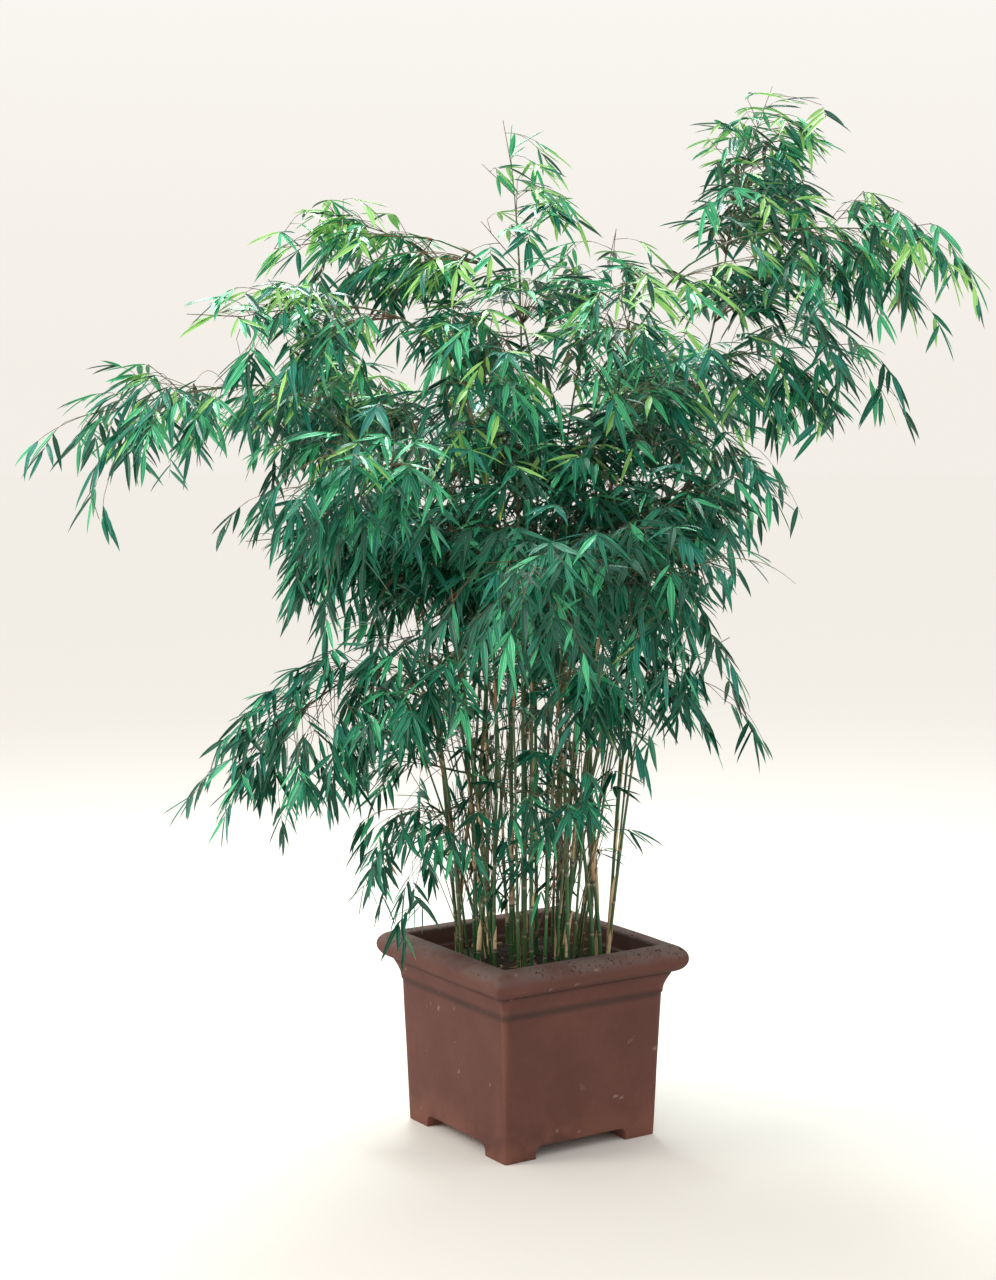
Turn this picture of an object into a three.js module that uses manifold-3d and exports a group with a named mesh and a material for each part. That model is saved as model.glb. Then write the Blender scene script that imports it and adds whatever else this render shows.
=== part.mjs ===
// A bamboo clump in a square clay pot: the pot, its soil, the canes and the leafy masses that they
// carry, each one its own closed solid. Millimetres, +Z up. The pot's sides lie along X and Y.

import * as THREE from "three";
import { mergeVertices } from "three/addons/utils/BufferGeometryUtils.js";
import Module from "manifold-3d";

const wasm = await Module();
wasm.setup();

// Pot: a square box on four feet, with a band and a fat rolled rim.
const POT_FOOT_SIDE = 360;
const POT_TOP_SIDE = 380;
const POT_BODY_HEIGHT = 293;
const BAND_RISE = 10;
const BAND_TOP = 335;
const BAND_OUT = [9, 15];
const ROLL_RADIUS = 27;
const ROLL_OUT = 13;
const ROLL_STEPS = 7;
const POT_HEIGHT = BAND_TOP + 2 * ROLL_RADIUS + 2;
const MOUTH_SIDE = 363;
const MOUTH_EDGE = 6;
const LEDGE_DEPTH = 35;
const LEDGE_WIDTH = 14;
const FLOOR_TOP = 55;
const INNER_FOOT_SIDE = 300;
const CORNER_CHAMFER = 6;
const FOOT_HEIGHT = 25;
const FOOT_WIDTH = 72;
const FOOT_SPREAD = 16;

// Soil, and the clearance that keeps neighbouring solids apart.
const SOIL_TOP = POT_HEIGHT - 46;
const GAP = 0.3;

// Clump: the widest side of the crown is turned this far from the pot's front.
const BEST_SIDE_TURN = -33.3;
const GOLDEN_TURN = 137.508;
const CANE_SIDES = 5;
const CANE_STEPS = 8;
const CANE_FOOT_RADIUS = [5.2, 6.4];
const CANE_TIP_RADIUS = 2.6;
const CANE_FLARE = 1.3;
const SEED = 4127;

// Leafy masses. Their leaves are larger than life, because each stands for a whole fan of them.
const STEM_SIDES = 3;
const STEM_STEPS = 2;
const STEM_RADIUS = 5;
const TWIG_RADIUS = 2;
const TWIGS_PER_MASS = 5;
const TWIG_LENGTH = 130;
const LEAVES_PER_TWIG = 4;
const LEAF_TRIES = 9;
const LEAF_LENGTH = 195;
const LEAF_WIDTH = 42;
const LEAF_THICKNESS = 4;
const LEAF_BELLY = 0.36;
const LEAF_KEEL = 0.14;
const LEAF_SINK = 0.8;
const SLIVER = 0.02;
const CELL_MARGIN = 1.5;
const LIMB_MARGIN = 2;
const LEAF_ROOM = 0.55 * LEAF_WIDTH;
const TWIG_ROOM = 0.4 * LEAF_WIDTH;
const GAP_SAMPLES = 7;

// Canes that give the crown its outline. turn: the way it leans in plan, 0 to the right of the best
// side and 90 away from it. reach and rise: where its tip is, from the pot's axis and from the ground.
// tilt: its slope there. foot: how far from the axis it stands. spray: how long the mass at its tip is.
// ring and swing: the ring of the cane that carries a second mass, and how far aside that one turns.
// Columns: name, turn, reach, rise, tilt, foot, spray, ring, swing.
const LEADERS = [
  ["tall", 15, 405, 1770, 82, 62, 280, 6, 75],
  ["right_arch", 350, 440, 1790, 10, 118, 250, 6, -90],
  ["right_middle", 3, 330, 1540, 18, 132, 230, 0, 0],
  ["right_low", 331, 205, 1250, 28, 140, 210, 0, 0],
  ["right_short", 342, 190, 900, 35, 146, 150, 0, 0],
  ["spire", 112, 60, 1690, 86, 28, 260, 0, 0],
  ["left_high", 157, 225, 1790, 8, 88, 260, 6, -30],
  ["left_second", 197, 350, 1650, 4, 116, 230, 6, 95],
  ["left_far", 178, 540, 1500, 0, 142, 270, 7, -70],
  ["left_weeping", 203, 345, 960, -24, 146, 250, 6, 60],
  ["left_middle", 190, 260, 1210, 8, 148, 220, 3, -10],
  ["left_low", 222, 175, 690, -10, 142, 140, 0, 0],
  ["front_left", 236, 330, 1320, 18, 128, 250, 0, 0],
  ["front", 270, 340, 1180, 12, 134, 240, 3, 10],
  ["front_right", 302, 290, 1150, 15, 132, 230, 5, -30],
  ["back_right", 61, 380, 1520, 20, 128, 260, 5, -20],
  ["back", 96, 400, 1420, 18, 130, 260, 4, 0],
  ["back_left", 129, 400, 1460, 18, 132, 260, 5, 20],
  ["middle", 50, 150, 1530, 72, 48, 240, 0, 0],
];

// Canes that only fill the clump, and end inside the crown.
const FILLERS = { count: 8, turn: 70, nearest: 30, furthest: 105, lean: 130 };
const FILLER_RISE = [1480, 1180];

const material = (colour, roughness) =>
  new THREE.MeshStandardMaterial({ color: colour, roughness, metalness: 0 });
const CLAY = material(0x8c4a36, 0.85);
const EARTH = material(0x241a14, 1.0);
const GREEN_CANE = material(0x3f7a3a, 0.45);
const LEAF_GREEN = material(0x1f7a45, 0.5);

const UP = new THREE.Vector3(0, 0, 1);
const radians = THREE.MathUtils.degToRad;

// A seeded series of numbers from 0 to 1, the same on every run.
function series(seed) {
  let state = seed;
  return () => {
    state = (state * 16807) % 2147483647;
    return state / 2147483647;
  };
}

// A horizontal direction of the clump, from its turn in plan.
function planDirection(turn) {
  const angle = radians(turn + BEST_SIDE_TURN);
  return new THREE.Vector3(Math.cos(angle), Math.sin(angle), 0);
}

// A direction that slopes up by tilt over a horizontal one.
function sloped(flat, tilt) {
  return plus(flat.clone().multiplyScalar(Math.cos(radians(tilt))), UP, Math.sin(radians(tilt)));
}

// A point moved along a direction.
function plus(point, direction, distance) {
  return point.clone().addScaledVector(direction, distance);
}

// A solid from a closed geometry whose faces point out.
function solidOf(geometry) {
  const bare = geometry.index ? geometry.toNonIndexed() : geometry.clone();
  bare.deleteAttribute("normal");
  bare.deleteAttribute("uv");
  const merged = mergeVertices(bare, 1e-4);
  return new wasm.Manifold(
    new wasm.Mesh({
      numProp: 3,
      vertProperties: new Float32Array(merged.attributes.position.array),
      triVerts: new Uint32Array(merged.index.array),
    }),
  );
}

function geometryOf(solid) {
  const mesh = solid.getMesh();
  const geometry = new THREE.BufferGeometry();
  geometry.setAttribute("position", new THREE.BufferAttribute(mesh.vertProperties, 3));
  geometry.setIndex(new THREE.BufferAttribute(mesh.triVerts, 1));
  geometry.computeVertexNormals();
  return geometry;
}

function named(name, solid, look) {
  const mesh = new THREE.Mesh(geometryOf(solid), look);
  mesh.name = name;
  return mesh;
}

// A square turned shape: the profile holds half-widths and heights, and turn sets where its corners are.
function squareLathe(profile, turn) {
  const points = profile.map(([half, z]) => new THREE.Vector2(half * Math.SQRT2, z));
  const geometry = new THREE.LatheGeometry(points, 4, radians(turn));
  geometry.rotateX(Math.PI / 2);
  return solidOf(geometry);
}

// The outside of the pot, from the feet to the top of the rolled rim.
function outerProfile() {
  const top = POT_TOP_SIDE / 2;
  const profile = [
    [POT_FOOT_SIDE / 2, 0],
    [top, POT_BODY_HEIGHT],
    [top + BAND_OUT[0], POT_BODY_HEIGHT + BAND_RISE],
    [top + BAND_OUT[1], BAND_TOP],
  ];
  const centre = POT_HEIGHT - ROLL_RADIUS;
  for (let k = 0; k <= ROLL_STEPS; k++) {
    const angle = -Math.PI / 2 + (Math.PI * k) / ROLL_STEPS;
    profile.push([top + ROLL_OUT + ROLL_RADIUS * Math.cos(angle), centre + ROLL_RADIUS * Math.sin(angle)]);
  }
  return profile;
}

function innerProfile() {
  const mouth = MOUTH_SIDE / 2;
  const ledge = POT_HEIGHT - LEDGE_DEPTH;
  return [
    [mouth + MOUTH_EDGE, POT_HEIGHT - 1],
    [mouth, POT_HEIGHT - MOUTH_EDGE],
    [mouth, ledge],
    [mouth - LEDGE_WIDTH, ledge - 1],
    [INNER_FOOT_SIDE / 2, FLOOR_TOP],
  ];
}

// The opening between two feet, drawn across a side and carried through the whole pot.
function footArch() {
  const low = POT_FOOT_SIDE / 2 - FOOT_WIDTH;
  const high = low - FOOT_SPREAD;
  const shape = new THREE.Shape();
  shape.moveTo(-low, -1);
  shape.lineTo(-low, 0);
  shape.quadraticCurveTo(-low + FOOT_SPREAD / 4, FOOT_HEIGHT, -high, FOOT_HEIGHT);
  shape.lineTo(high, FOOT_HEIGHT);
  shape.quadraticCurveTo(low - FOOT_SPREAD / 4, FOOT_HEIGHT, low, 0);
  shape.lineTo(low, -1);
  const geometry = new THREE.ExtrudeGeometry(shape, {
    depth: 2 * POT_TOP_SIDE,
    bevelEnabled: false,
    curveSegments: 4,
  });
  geometry.translate(0, 0, -POT_TOP_SIDE);
  geometry.rotateX(Math.PI / 2);
  return geometry;
}

// The turned pot, its upright corners cut off by the same shape turned by an eighth, on its feet.
function makePot() {
  const outer = outerProfile();
  const whole = squareLathe([[0, 0], ...outer, ...innerProfile(), [0, FLOOR_TOP]], 45);
  const inset = CORNER_CHAMFER / Math.SQRT2;
  const trimmed = outer.map(([half, z]) => [half * Math.SQRT2 - inset, z]);
  const trim = squareLathe([[0, 0], ...trimmed, [0, POT_HEIGHT]], 0);
  const arch = footArch();
  const pot = whole
    .intersect(trim)
    .subtract(solidOf(arch))
    .subtract(solidOf(arch.clone().rotateZ(Math.PI / 2)));
  return named("pot", pot, CLAY);
}

function makeSoil() {
  const [top, bottom] = [MOUTH_SIDE / 2 - LEDGE_WIDTH, INNER_FOOT_SIDE / 2];
  const ledge = POT_HEIGHT - LEDGE_DEPTH - 1;
  const halfAt = (z) => bottom + ((top - bottom) * (z - FLOOR_TOP)) / (ledge - FLOOR_TOP) - 2 * GAP;
  const low = FLOOR_TOP + GAP;
  const profile = [
    [0, low],
    [halfAt(low), low],
    [halfAt(SOIL_TOP), SOIL_TOP],
    [0, SOIL_TOP],
  ];
  return named("soil", squareLathe(profile, 45), EARTH);
}

// A tapering limb along a curve: a cylinder whose rings are carried onto the curve. across is a
// direction that stays off the curve's own, and sets how each ring is turned. The first ring of a
// limb with a level foot lies flat.
function limb(curve, radiusAt, sides, steps, across, levelFoot = false) {
  const geometry = new THREE.CylinderGeometry(1, 1, 1, sides, steps);
  const place = geometry.attributes.position;
  for (let i = 0; i < place.count; i++) {
    const t = Math.round((place.getY(i) + 0.5) * steps) / steps;
    const along = levelFoot && t === 0 ? UP : curve.getTangent(t);
    const side = plus(across, along, -across.dot(along)).normalize();
    const other = new THREE.Vector3().crossVectors(side, along);
    const radius = radiusAt(t);
    const rim = plus(curve.getPoint(t), side, place.getX(i) * radius);
    rim.addScaledVector(other, place.getZ(i) * radius);
    place.setXYZ(i, rim.x, rim.y, rim.z);
  }
  return solidOf(geometry);
}

// A cane's line: steeply up out of the soil, then over to its tip at its own slope.
function caneCurve({ turn, reach, rise, tilt, foot }) {
  const out = planDirection(turn);
  const tall = rise - SOIL_TOP;
  const start = plus(out.clone().multiplyScalar(foot), UP, SOIL_TOP + GAP);
  const end = plus(out.clone().multiplyScalar(reach), UP, rise);
  const low = plus(plus(start, UP, 0.32 * tall), out, 0.12 * (reach - foot));
  const high = plus(end, sloped(out, tilt), -0.32 * tall);
  return new THREE.CubicBezierCurve3(start, low, high, end);
}

function makeCane(plan) {
  const curve = caneCurve(plan);
  const taperAt = (t) => plan.thick + (CANE_TIP_RADIUS - plan.thick) * t;
  const radiusAt = (t) => (t === 0 ? CANE_FLARE : 1) * taperAt(t);
  const across = new THREE.Vector3().crossVectors(UP, planDirection(plan.turn));
  const solid = limb(curve, radiusAt, CANE_SIDES, CANE_STEPS, across, true);
  const mesh = named("cane_" + plan.name, solid, GREEN_CANE);
  return { ...plan, curve, radiusAt, line: curve.getPoints(CANE_STEPS), mesh };
}

function canePlans() {
  const next = series(SEED);
  const thick = () => THREE.MathUtils.lerp(...CANE_FOOT_RADIUS, next());
  const leaders = LEADERS.map(([name, turn, reach, rise, tilt, foot, spray, ring, swing]) => ({
    ...{ name, turn, reach, rise, tilt, foot, spray, ring, swing },
    thick: thick(),
  }));
  const fillers = Array.from({ length: FILLERS.count }, (_, k) => {
    const share = (k + 0.5) / FILLERS.count;
    const foot = THREE.MathUtils.lerp(FILLERS.nearest, FILLERS.furthest, share);
    return {
      name: "inner_" + (k + 1),
      turn: GOLDEN_TURN * k + FILLERS.turn,
      foot,
      reach: foot * 1.4 + FILLERS.lean * share,
      rise: THREE.MathUtils.lerp(...FILLER_RISE, k / FILLERS.count),
      tilt: 82 - 10 * share,
      spray: 0,
      thick: thick(),
    };
  });
  return [...leaders, ...fillers];
}

// A mass's stem line: straight out of its limb, then over towards its aim, sagging as it goes.
function stemCurve(root, leave, aim, length) {
  const bend = plus(root, leave, 0.4 * length);
  const end = plus(plus(plus(root, leave, 0.3 * length), aim, 0.7 * length), UP, -0.06 * length);
  return new THREE.QuadraticBezierCurve3(root, bend, end);
}

// The masses' stems: one that carries on from a cane's tip, and one from its side, lower down.
function massPlans(canes) {
  const plans = [];
  for (const cane of canes.filter(({ spray }) => spray)) {
    const ahead = cane.curve.getTangent(1);
    const flat = planDirection(cane.turn);
    const tipRoot = plus(cane.curve.getPoint(1), ahead, GAP);
    plans.push({
      name: cane.name + "_tip",
      stem: stemCurve(tipRoot, ahead, sloped(flat, cane.tilt - 8), cane.spray),
    });
    if (!cane.ring) continue;
    const t = cane.ring / CANE_STEPS;
    const along = cane.curve.getTangent(t);
    const away = planDirection(cane.turn + cane.swing);
    const leave = plus(away, along, -away.dot(along)).normalize();
    const sideRoot = plus(cane.curve.getPoint(t), leave, cane.radiusAt(t) + GAP);
    plans.push({
      name: cane.name + "_side",
      stem: stemCurve(sideRoot, leave, sloped(away, 30), 0.9 * cane.spray),
    });
  }
  return plans.map((plan, index) => ({
    ...plan,
    joints: plan.stem.getPoints(STEM_STEPS),
    centre: plan.stem.getPoint(0.55),
    seed: SEED + 97 * (index + 1),
  }));
}

// Whether points stay in a mass's own space: the part of the crown nearer to its centre than to others.
function staysHome(points, mass, masses) {
  return masses.every((other) => {
    if (other === mass) return true;
    const between = other.centre.clone().sub(mass.centre);
    const limit = between.length() / 2 - CELL_MARGIN;
    between.normalize();
    return points.every((point) => point.clone().sub(mass.centre).dot(between) < limit);
  });
}

// How near one straight line comes to another, measured at points along it.
function lineGap([from, to], [start, end]) {
  const piece = new THREE.Line3(start, end);
  const nearest = new THREE.Vector3();
  let gap = Infinity;
  for (let k = 0; k <= GAP_SAMPLES; k++) {
    const point = from.clone().lerp(to, k / GAP_SAMPLES);
    gap = Math.min(gap, point.distanceTo(piece.closestPointToPoint(point, true, nearest)));
  }
  return gap;
}

function clearOfCanes(line, halfWidth, canes) {
  return canes.every((cane) =>
    cane.line.every((point, k) => {
      if (k === 0) return true;
      const room = cane.radiusAt((k - 1) / CANE_STEPS) + halfWidth + LIMB_MARGIN;
      return lineGap(line, [cane.line[k - 1], point]) > room;
    }),
  );
}

// No leaf dips into the pot, its rim or the ground.
function clearOfPot(points) {
  const half = POT_TOP_SIDE / 2 + ROLL_OUT + ROLL_RADIUS + 8;
  const beside = (point) => Math.max(Math.abs(point.x), Math.abs(point.y)) > half;
  return points.every((point) => point.z > 20 && (point.z > POT_HEIGHT + 12 || beside(point)));
}

// A leaf: a flat solid of eight faces, sharp at both ends.
function leafGeometry(root, way, flat) {
  const geometry = new THREE.OctahedronGeometry(1);
  const place = geometry.attributes.position;
  const across = new THREE.Vector3().crossVectors(way, flat).normalize();
  const face = new THREE.Vector3().crossVectors(across, way);
  for (let i = 0; i < place.count; i++) {
    const [x, y, z] = [place.getX(i), place.getY(i), place.getZ(i)];
    const share = y > 0.5 ? 1 : y < -0.5 ? 0 : Math.abs(x) > 0.5 ? LEAF_BELLY : LEAF_KEEL;
    const corner = plus(root, way, LEAF_LENGTH * share);
    corner.addScaledVector(across, (x * LEAF_WIDTH) / 2).addScaledVector(face, (z * LEAF_THICKNESS) / 2);
    place.setXYZ(i, corner.x, corner.y, corner.z);
  }
  return geometry;
}

function leafCorners(geometry) {
  const place = geometry.attributes.position;
  return Array.from({ length: place.count }, (_, i) => new THREE.Vector3().fromBufferAttribute(place, i));
}

// A point on a line of straight pieces.
function alongJoints(joints, t) {
  const k = Math.min(Math.floor(t * STEM_STEPS), STEM_STEPS - 1);
  return joints[k].clone().lerp(joints[k + 1], t * STEM_STEPS - k);
}

// A mass's twigs: they leave the stem all round it, and the last one carries it on.
function twigLines(mass, masses, canes, next) {
  const side = new THREE.Vector3().crossVectors(UP, mass.stem.getTangent(0.5)).normalize();
  const lines = [];
  for (let k = 0; k < TWIGS_PER_MASS; k++) {
    const t = 0.2 + (0.78 * k) / (TWIGS_PER_MASS - 1);
    const along = mass.stem.getTangent(t);
    const other = new THREE.Vector3().crossVectors(side, along).normalize();
    const spin = radians(GOLDEN_TURN * k) + next();
    const outward = plus(side.clone().multiplyScalar(Math.cos(spin)), other, Math.sin(spin));
    const heading = plus(plus(along, outward, k === TWIGS_PER_MASS - 1 ? 0 : 1.2), UP, 0.15);
    heading.addScaledVector(wander(next), 0.4).normalize();
    const from = alongJoints(mass.joints, t);
    const to = plus(from, heading, TWIG_LENGTH * (1.1 - 0.4 * t) * (0.8 + 0.4 * next()));
    const clear = clearOfCanes([from.clone().lerp(to, 0.3), to], TWIG_RADIUS, canes);
    if (clear && clearOfPot([to]) && staysHome([from, to], mass, masses)) lines.push([from, to]);
  }
  return lines;
}

function wander(next) {
  return new THREE.Vector3(next() - 0.5, next() - 0.5, next() - 0.5);
}

// One leaf on a twig, hanging to the side that its fork says. Each new try turns it further in towards
// the middle of its mass, and it is left out where there is no room for it.
function tryLeaf(twig, share, fork, mass, masses, canes, taken, next) {
  const [from, to] = twig;
  const heading = to.clone().sub(from).normalize();
  const side = new THREE.Vector3().crossVectors(heading, UP).normalize();
  const node = from.clone().lerp(to, share);
  const inward = mass.centre.clone().sub(node).normalize();
  for (let attempt = 0; attempt < LEAF_TRIES; attempt++) {
    const way = plus(heading.clone().multiplyScalar(0.7), side, fork * 0.8);
    way.addScaledVector(UP, -0.45 - 0.6 * next()).addScaledVector(wander(next), 0.7);
    way.addScaledVector(inward, 0.2 * attempt).normalize();
    const flat = plus(UP, wander(next), 0.9).normalize();
    const root = plus(node, way, -LEAF_SINK);
    const blade = leafGeometry(root, way, flat);
    const corners = leafCorners(blade);
    const line = [plus(root, way, 0.2 * LEAF_LENGTH), plus(root, way, LEAF_LENGTH)];
    if (!staysHome(corners, mass, masses) || !clearOfPot(corners)) continue;
    if (!clearOfCanes(line, LEAF_WIDTH / 2, canes)) continue;
    if (taken.some((other) => lineGap(line, other.line) < other.room)) continue;
    taken.push({ line, room: LEAF_ROOM });
    return solidOf(blade);
  }
  return null;
}

// A mass: its stem, its twigs and the leaves that find room on them, joined into one solid.
function growMass(mass, masses, canes) {
  const next = series(mass.seed);
  const side = new THREE.Vector3().crossVectors(UP, mass.stem.getTangent(0.5)).normalize();
  const stemRadius = (t) => STEM_RADIUS * (1 - 0.35 * t);
  const twigRadius = (t) => TWIG_RADIUS * (1 - 0.1 * t);
  const pieces = [limb(mass.stem, stemRadius, STEM_SIDES, STEM_STEPS, side)];
  const twigs = twigLines(mass, masses, canes, next);
  const stemLines = mass.joints.slice(1).map((point, k) => [mass.joints[k], point]);
  const taken = [...stemLines, ...twigs].map((line) => ({ line, room: TWIG_ROOM }));
  for (const twig of twigs) {
    const line = new THREE.LineCurve3(...twig);
    const across = new THREE.Vector3().crossVectors(line.getTangent(0), UP).normalize();
    pieces.push(limb(line, twigRadius, STEM_SIDES, 1, across));
    for (let j = 0; j < LEAVES_PER_TWIG; j++) {
      const fork = j === 0 ? 0 : j % 2 ? 1 : -1;
      const leaf = tryLeaf(twig, 0.98 - 0.24 * j, fork, mass, masses, canes, taken, next);
      if (leaf) pieces.push(leaf);
    }
  }
  return named("leaves_" + mass.name, wasm.Manifold.union(pieces).simplify(SLIVER), LEAF_GREEN);
}

const canes = canePlans().map(makeCane);
const masses = massPlans(canes);
const foliage = masses.map((mass) => growMass(mass, masses, canes));

// The origin is under the middle of the whole plant, on the ground.
const plant = new THREE.Group();
plant.add(makePot(), makeSoil(), ...canes.map(({ mesh }) => mesh), ...foliage);
const box = new THREE.Box3().setFromObject(plant, true);
plant.position.set(-(box.min.x + box.max.x) / 2, -(box.min.y + box.max.y) / 2, 0);

const root = new THREE.Group();
root.add(plant);

export default root;
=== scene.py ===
# %% [markdown]
# # A bamboo clump in a square clay pot
#
# A potted bamboo is a lesson in scale: one heavy pot, a few dozen canes and thousands of leaves.
# The pot is modelled by hand with operators. A cane is one internode, modelled once and stacked.
# The leaves are one blade, modelled once, that a growth rule sets on twigs by the thousand.
#
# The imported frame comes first. Everything below is placed from its boxes, in metres.

# %% Load the frame
import math

import bmesh
import bpy
import numpy as np
from mathutils import Matrix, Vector
from mathutils.kdtree import KDTree


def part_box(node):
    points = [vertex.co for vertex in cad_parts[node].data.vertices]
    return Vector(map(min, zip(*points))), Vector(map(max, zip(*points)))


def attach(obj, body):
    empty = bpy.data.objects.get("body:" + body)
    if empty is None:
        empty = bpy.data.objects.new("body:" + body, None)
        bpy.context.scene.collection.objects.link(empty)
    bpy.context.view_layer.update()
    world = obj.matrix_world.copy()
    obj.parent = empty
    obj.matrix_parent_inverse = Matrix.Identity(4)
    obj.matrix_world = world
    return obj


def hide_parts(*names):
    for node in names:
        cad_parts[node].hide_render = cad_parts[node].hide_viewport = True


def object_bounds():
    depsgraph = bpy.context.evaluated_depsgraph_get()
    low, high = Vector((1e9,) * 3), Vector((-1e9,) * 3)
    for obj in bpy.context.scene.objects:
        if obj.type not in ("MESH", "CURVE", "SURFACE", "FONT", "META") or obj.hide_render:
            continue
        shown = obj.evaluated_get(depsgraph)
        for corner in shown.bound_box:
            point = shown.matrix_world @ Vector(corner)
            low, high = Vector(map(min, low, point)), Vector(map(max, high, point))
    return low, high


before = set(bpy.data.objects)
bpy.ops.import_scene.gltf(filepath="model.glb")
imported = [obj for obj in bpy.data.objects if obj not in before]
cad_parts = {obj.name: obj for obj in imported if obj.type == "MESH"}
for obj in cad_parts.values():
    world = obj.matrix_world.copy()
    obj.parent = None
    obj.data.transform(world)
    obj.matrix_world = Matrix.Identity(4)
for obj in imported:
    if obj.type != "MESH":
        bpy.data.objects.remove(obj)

cad_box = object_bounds()
pot_low, pot_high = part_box("pot")
AXIS = np.array([(pot_low.x + pot_high.x) / 2, (pot_low.y + pot_high.y) / 2, 0.0])
POT_HEIGHT = pot_high.z
print("pot axis", AXIS.round(4), "pot height", round(POT_HEIGHT, 4))

# %% [markdown]
# ## The camera
#
# The picture was taken from eye level, a good four and a half metres away, looking a little down
# at a corner of the pot. A lens of 67.5 mm on a 36 mm sensor gives the same narrow view. The
# camera stands where the pot's edges, worked out in perspective, fall on the edges in the picture.

# %% Place the camera
VIEW_TURN = math.radians(33.27)
VIEW_PITCH = math.radians(6.54)
VIEW_DISTANCE = 4.746
VIEW_ASIDE = -0.066
VIEW_HEIGHT = 1.540
VIEW_LENS = 67.5
VIEW_SENSOR = 36.0

UP = np.array([0.0, 0.0, 1.0])
VIEW_AHEAD = np.array([math.sin(VIEW_TURN), math.cos(VIEW_TURN), 0.0])
VIEW_RIGHT = np.array([math.cos(VIEW_TURN), -math.sin(VIEW_TURN), 0.0])


def seen_from(ahead, right, up):
    """A place given from the pot's axis, as the camera has it: ahead, to the right and up."""
    return AXIS + ahead * VIEW_AHEAD + right * VIEW_RIGHT + up * UP


camera = bpy.data.objects.new("camera", bpy.data.cameras.new("camera"))
bpy.context.scene.collection.objects.link(camera)
camera.data.lens = VIEW_LENS
camera.data.sensor_width = VIEW_SENSOR
camera.location = seen_from(-VIEW_DISTANCE, VIEW_ASIDE, VIEW_HEIGHT)
camera.rotation_euler = (math.pi / 2 - VIEW_PITCH, 0.0, -VIEW_TURN)
bpy.context.scene.camera = camera
print("camera at", np.round(camera.location, 3))

# %% [markdown]
# ## Floor and light
#
# A plain pale floor and a pale warm sky stand in for the terrace. Garden light under a bright sky
# is soft and comes from above, so the sky gives most of it, and is a little darker at the
# horizon, where it meets the floor without a line. One large lamp at the upper left models the
# pot's two faces, and one behind the crown makes its top leaves glow.

# %% Light the studio
FLOOR_SIZE = 60.0
FLOOR_COLOUR = (0.790, 0.757, 0.704, 1.0)
SKY_TOP = (1.15, 1.15, 1.15, 1.0)
SKY_HORIZON = (0.90, 0.86, 0.80, 1.0)
SKY_RISE = 0.7

# The sockets of a Mix node set to colour. Their names repeat, so they are found by number.
MIX_FACTOR, MIX_BELOW, MIX_ABOVE, MIX_RESULT = 0, 6, 7, 2

# Each lamp's name, place, aim, size, power and colour. A place is ahead, right and up from the pot.
LAMPS = [
    ("key_lamp", (-1.0, -3.4, 2.6), (0.0, 0.0, 0.8), 1.6, 78.0, (1.0, 0.95, 0.88)),
    ("crown_lamp", (1.8, -0.4, 3.7), (0.0, 0.0, 1.6), 1.2, 122.0, (0.88, 1.0, 0.97)),
]


def add_node(tree, kind, inputs=None, **settings):
    """A shader node with its settings, its plain values and its links."""
    made = tree.nodes.new(kind)
    for key, value in settings.items():
        setattr(made, key, value)
    for key, value in (inputs or {}).items():
        if isinstance(value, bpy.types.NodeSocket):
            tree.links.new(value, made.inputs[key])
        else:
            made.inputs[key].default_value = value
    return made


def start_material(name, **values):
    """A new material, its node tree and its Principled shader, with plain values on its sockets."""
    material = bpy.data.materials.new(name)
    material.use_nodes = True
    tree = material.node_tree
    shader = tree.nodes["Principled BSDF"]
    for key, value in values.items():
        shader.inputs[key.replace("_", " ")].default_value = value
    return material, tree, shader


def start_piece(name, add, **size):
    """A primitive added alone, with nothing else selected."""
    bpy.ops.object.select_all(action="DESELECT")
    add(**size)
    piece = bpy.context.object
    piece.name = name
    piece.data.name = name
    return piece


def add_lamp(name, place, aim, size, power, colour):
    light = bpy.data.lights.new(name, "AREA")
    light.shape = "DISK"
    light.size = size
    light.energy = power
    light.color = colour
    lamp = bpy.data.objects.new(name, light)
    bpy.context.scene.collection.objects.link(lamp)
    lamp.location = seen_from(*place)
    lamp.rotation_euler = lamp_turn(seen_from(*aim) - np.array(lamp.location))


def lamp_turn(way):
    """The turn that points a lamp, which shines along its own -Z, along a way."""
    from_level = math.atan2(way[2], math.hypot(way[0], way[1]))
    return (math.pi / 2 + from_level, 0.0, math.atan2(way[1], way[0]) - math.pi / 2)


sky = bpy.data.worlds.new("sky")
bpy.context.scene.world = sky
sky.use_nodes = True
heading = add_node(sky.node_tree, "ShaderNodeTexCoord").outputs["Generated"]
rise = add_node(sky.node_tree, "ShaderNodeSeparateXYZ", {"Vector": heading}).outputs["Z"]
share = add_node(sky.node_tree, "ShaderNodeMapRange", {"Value": rise, "From Max": SKY_RISE})
tones = {MIX_FACTOR: share.outputs["Result"], MIX_BELOW: SKY_HORIZON, MIX_ABOVE: SKY_TOP}
tone = add_node(sky.node_tree, "ShaderNodeMix", tones, data_type="RGBA").outputs[MIX_RESULT]
sky.node_tree.links.new(tone, sky.node_tree.nodes["Background"].inputs["Color"])
bpy.context.scene.view_settings.view_transform = "Standard"

floor = start_piece("floor", bpy.ops.mesh.primitive_circle_add, vertices=96, radius=FLOOR_SIZE / 2,
                    fill_type="NGON")
floor.data.materials.append(start_material("floor", Roughness=0.9, Base_Color=FLOOR_COLOUR)[0])

for row in LAMPS:
    add_lamp(*row)

# %% [markdown]
# ## Effects that several finishes share
#
# Fired clay, soil, canes and dry sheaths are all patchy. The patches are one node group, called
# Patches: noise pushed to more contrast and put out as a mask. Each material gives it its own
# scale and uses the mask its own way. A second group, Fine grain, puts out a height for Bump
# nodes: a fine noise with small pits in it.

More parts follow.
